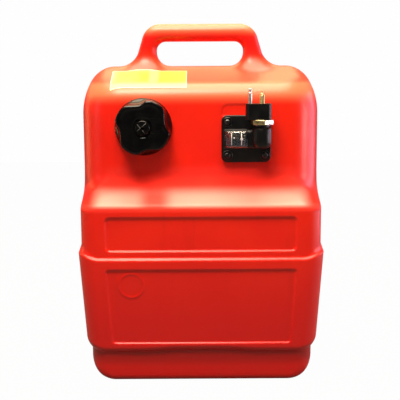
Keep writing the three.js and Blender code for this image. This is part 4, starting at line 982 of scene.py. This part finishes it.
COLLAR_PROFILE = [
    (6.4, 349.4), (10.6, 349.4), (11, 349.8), (11, 352), (6.4, 352), (6.4, 349.4),
]
GUIDE_PIN_PROFILE = [
    (0, 364.3), (2.75, 364.3), (2.75, 393.6), (2.45, 394), (1.85, 394.5), (1.85, 395.7),
    (2.45, 396.2), (2.75, 396.6), (2.7, 398), (2.3, 399), (1.5, 399.4), (0, 399.4),
]
FUEL_PIN_PROFILE = [
    (2.5, 360.3), (6.3, 360.3), (6.3, 363), (3.45, 363), (3.45, 390.4), (3.15, 390.9),
    (2.7, 391), (2.5, 390.6), (2.5, 360.3),
]
VALVE_TIP_PROFILE = [
    (0, 371), (2.2, 371), (2.2, 389.6), (2.1, 392.4), (1.5, 393), (1.35, 395.8),
    (1.0, 396.6), (0, 396.8),
]

collar = lathed(COLLAR_PROFILE, 64, FUEL_PIN_AXIS)
hose_block = slab((60.3, -116.7, 358.3), (94.2, -94.7, 379.3), 6.5, 8)
guide_pin = lathed(GUIDE_PIN_PROFILE, 40, GUIDE_PIN_AXIS)
fuel_pin = lathed(FUEL_PIN_PROFILE, 48, FUEL_PIN_AXIS)
valve_tip = lathed(VALVE_TIP_PROFILE, 40, FUEL_PIN_AXIS)

finished("lock_nut", nut_mesh(), nut_finish(), "tank", ("joint_nut",))
finished("nut_collar", collar, dark_steel, "tank", ("joint_nut",))
finished(
    "hose_block", hose_block, finishes["black_plastic"], "tank",
    ("connector_block",),
)
finished("locating_pin", guide_pin, finishes["steel"], "tank", ("guide_pin",))
finished("outlet_pin", fuel_pin, finishes["brass"], "tank", ("fuel_pin",))
finished("valve_tip", valve_tip, finishes["brass"], "valve", ("valve_poppet",))


# Label, a thin sheet laid on the roof

LABEL_GAP = 0.45


def label_mesh():
    """Lowers a flat grid step by step until it lies just clear of the tank."""
    sheet = bmesh.new()
    bmesh.ops.create_grid(sheet, x_segments=52, y_segments=32, size=0.5)
    for vert in sheet.verts:
        x = LABEL_CENTRE[0] + vert.co.x * LABEL_SIZE[0]
        y = LABEL_CENTRE[1] + vert.co.y * LABEL_SIZE[1]
        vert.co = Vector((x, y, 425))
    points = np.array([v.co for v in sheet.verts])
    for _ in range(12):
        points[:, 2] -= np.clip((tank_level(points) - LABEL_GAP) / 0.9, -6, 6)
    for vert, point in zip(sheet.verts, points):
        vert.co = point
    bmesh.ops.recalc_face_normals(sheet, faces=sheet.faces)
    if sum(f.normal.z for f in sheet.faces) < 0:
        bmesh.ops.reverse_faces(sheet, faces=sheet.faces)
    bmesh.ops.solidify(sheet, geom=sheet.faces[:], thickness=0.3)
    bmesh.ops.recalc_face_normals(sheet, faces=sheet.faces)
    return sheet


finished("roof_label", label_mesh(), finishes["label"], "tank", ("top_label",))


# Pieces carried over from the frame take a finish of their slot

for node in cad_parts.values():
    slot = node.material_slots[0].material.name.split(".")[0]
    finish = dark_steel if node.name.startswith("flange_screw") else finishes[slot]
    node.material_slots[0].material = finish.material


# Floor, backdrop and lamps

def stage_plane(name, size, matrix):
    plane = bmesh.new()
    bmesh.ops.create_grid(plane, x_segments=1, y_segments=1, size=size / 2)
    bmesh.ops.transform(plane, matrix=matrix, verts=plane.verts)
    mesh = bpy.data.meshes.new(name)
    plane.to_mesh(mesh)
    plane.free()
    stage = bpy.data.objects.new(name, mesh)
    scene.collection.objects.link(stage)
    return stage


def pale_surface(name, own_light, glossy_share):
    """Grey to the lamps, but glows: by own_light to the camera and less in reflections."""
    pale = Finish(name, Roughness=0.9)
    pale.shader.inputs["Base Color"].default_value = (0.14, 0.14, 0.14, 1)
    rays = pale.nodes.new("ShaderNodeLightPath").outputs
    camera_ray = Value(pale, rays["Is Camera Ray"])
    glossy_ray = Value(pale, rays["Is Glossy Ray"])
    clear_ray = Value(pale, rays["Is Transmission Ray"])
    seen = camera_ray.most(glossy_ray * glossy_share).most(clear_ray)
    glow = pale.add("ShaderNodeEmission", None, {"Color": (1, 1, 1, 1), "Strength": 1.0})
    blend = pale.add("ShaderNodeMixShader", None, {0: seen * own_light, 2: glow})
    pale.links.new(pale.shader.outputs[0], blend.socket.node.inputs[1])
    pale.links.new(blend.socket, pale.nodes["Material Output"].inputs["Surface"])
    return pale.material


floor = stage_plane("floor", 8, Matrix())
floor.data.materials.append(pale_surface("pale_floor", 0.98, 0.05))
upright = Matrix.Rotation(math.radians(90), 4, "X")
backdrop = stage_plane("backdrop", 8, Matrix.Translation((0, 2.6, 3)) @ upright)
backdrop.data.materials.append(pale_surface("pale_backdrop", 0.99, 0.14))

world = bpy.data.worlds.new("studio")
scene.world = world
world.use_nodes = True
world_nodes = world.node_tree.nodes
world_links = world.node_tree.links
room = world_nodes["Background"]
room.inputs["Color"].default_value = (1.0, 0.93, 0.86, 1)
room.inputs["Strength"].default_value = 0.11
seen_room = world_nodes.new("ShaderNodeBackground")
seen_room.inputs["Color"].default_value = (1, 1, 1, 1)
seen_room.inputs["Strength"].default_value = 1.0
world_rays = world_nodes.new("ShaderNodeLightPath")
world_blend = world_nodes.new("ShaderNodeMixShader")
world_links.new(world_rays.outputs["Is Camera Ray"], world_blend.inputs[0])
world_links.new(room.outputs[0], world_blend.inputs[1])
world_links.new(seen_room.outputs[0], world_blend.inputs[2])
world_links.new(world_blend.outputs[0], world_nodes["World Output"].inputs["Surface"])


def lamp(name, place, target, size, power, colour):
    data = bpy.data.lights.new(name, "AREA")
    data.shape = "RECTANGLE"
    data.size, data.size_y = size
    data.energy = power
    data.color = colour
    light = bpy.data.objects.new(name, data)
    light.location = place
    light.visible_camera = False
    light.rotation_euler = (Vector(target) - Vector(place)).to_track_quat("-Z", "Y").to_euler()
    scene.collection.objects.link(light)


lamp("overhead", (-0.05, -0.18, 1.45), (-0.05, -0.18, 0), (1.2, 1.2), 50, (1.0, 0.83, 0.6))
lamp("behind", (0, 1.3, 1.65), (0, 0, 0.4), (1.7, 0.8), 24, (1.0, 0.62, 0.3))
lamp("front_key", (-0.2, -0.75, 1.3), (0, 0, 0.3), (0.45, 0.3), 15, (1.0, 0.9, 0.72))
lamp("right_strip", (1.25, 0.3, 0.45), (0.1, 0, 0.3), (0.7, 0.9), 8.5, (1.0, 0.66, 0.86))
lamp("left_strip", (-1.25, 0.5, 0.5), (-0.1, 0, 0.3), (0.3, 0.9), 2.8, (1.0, 0.66, 0.3))
lamp("right_card", (1.2, -0.34, 0.32), (0.08, -0.1, 0.35), (0.26, 0.34), 3.2, (1.0, 0.95, 0.93))
lamp("left_card", (-1.2, -0.42, 0.42), (0, -0.1, 0.34), (0.12, 0.3), 0.6, (1.0, 0.95, 0.9))
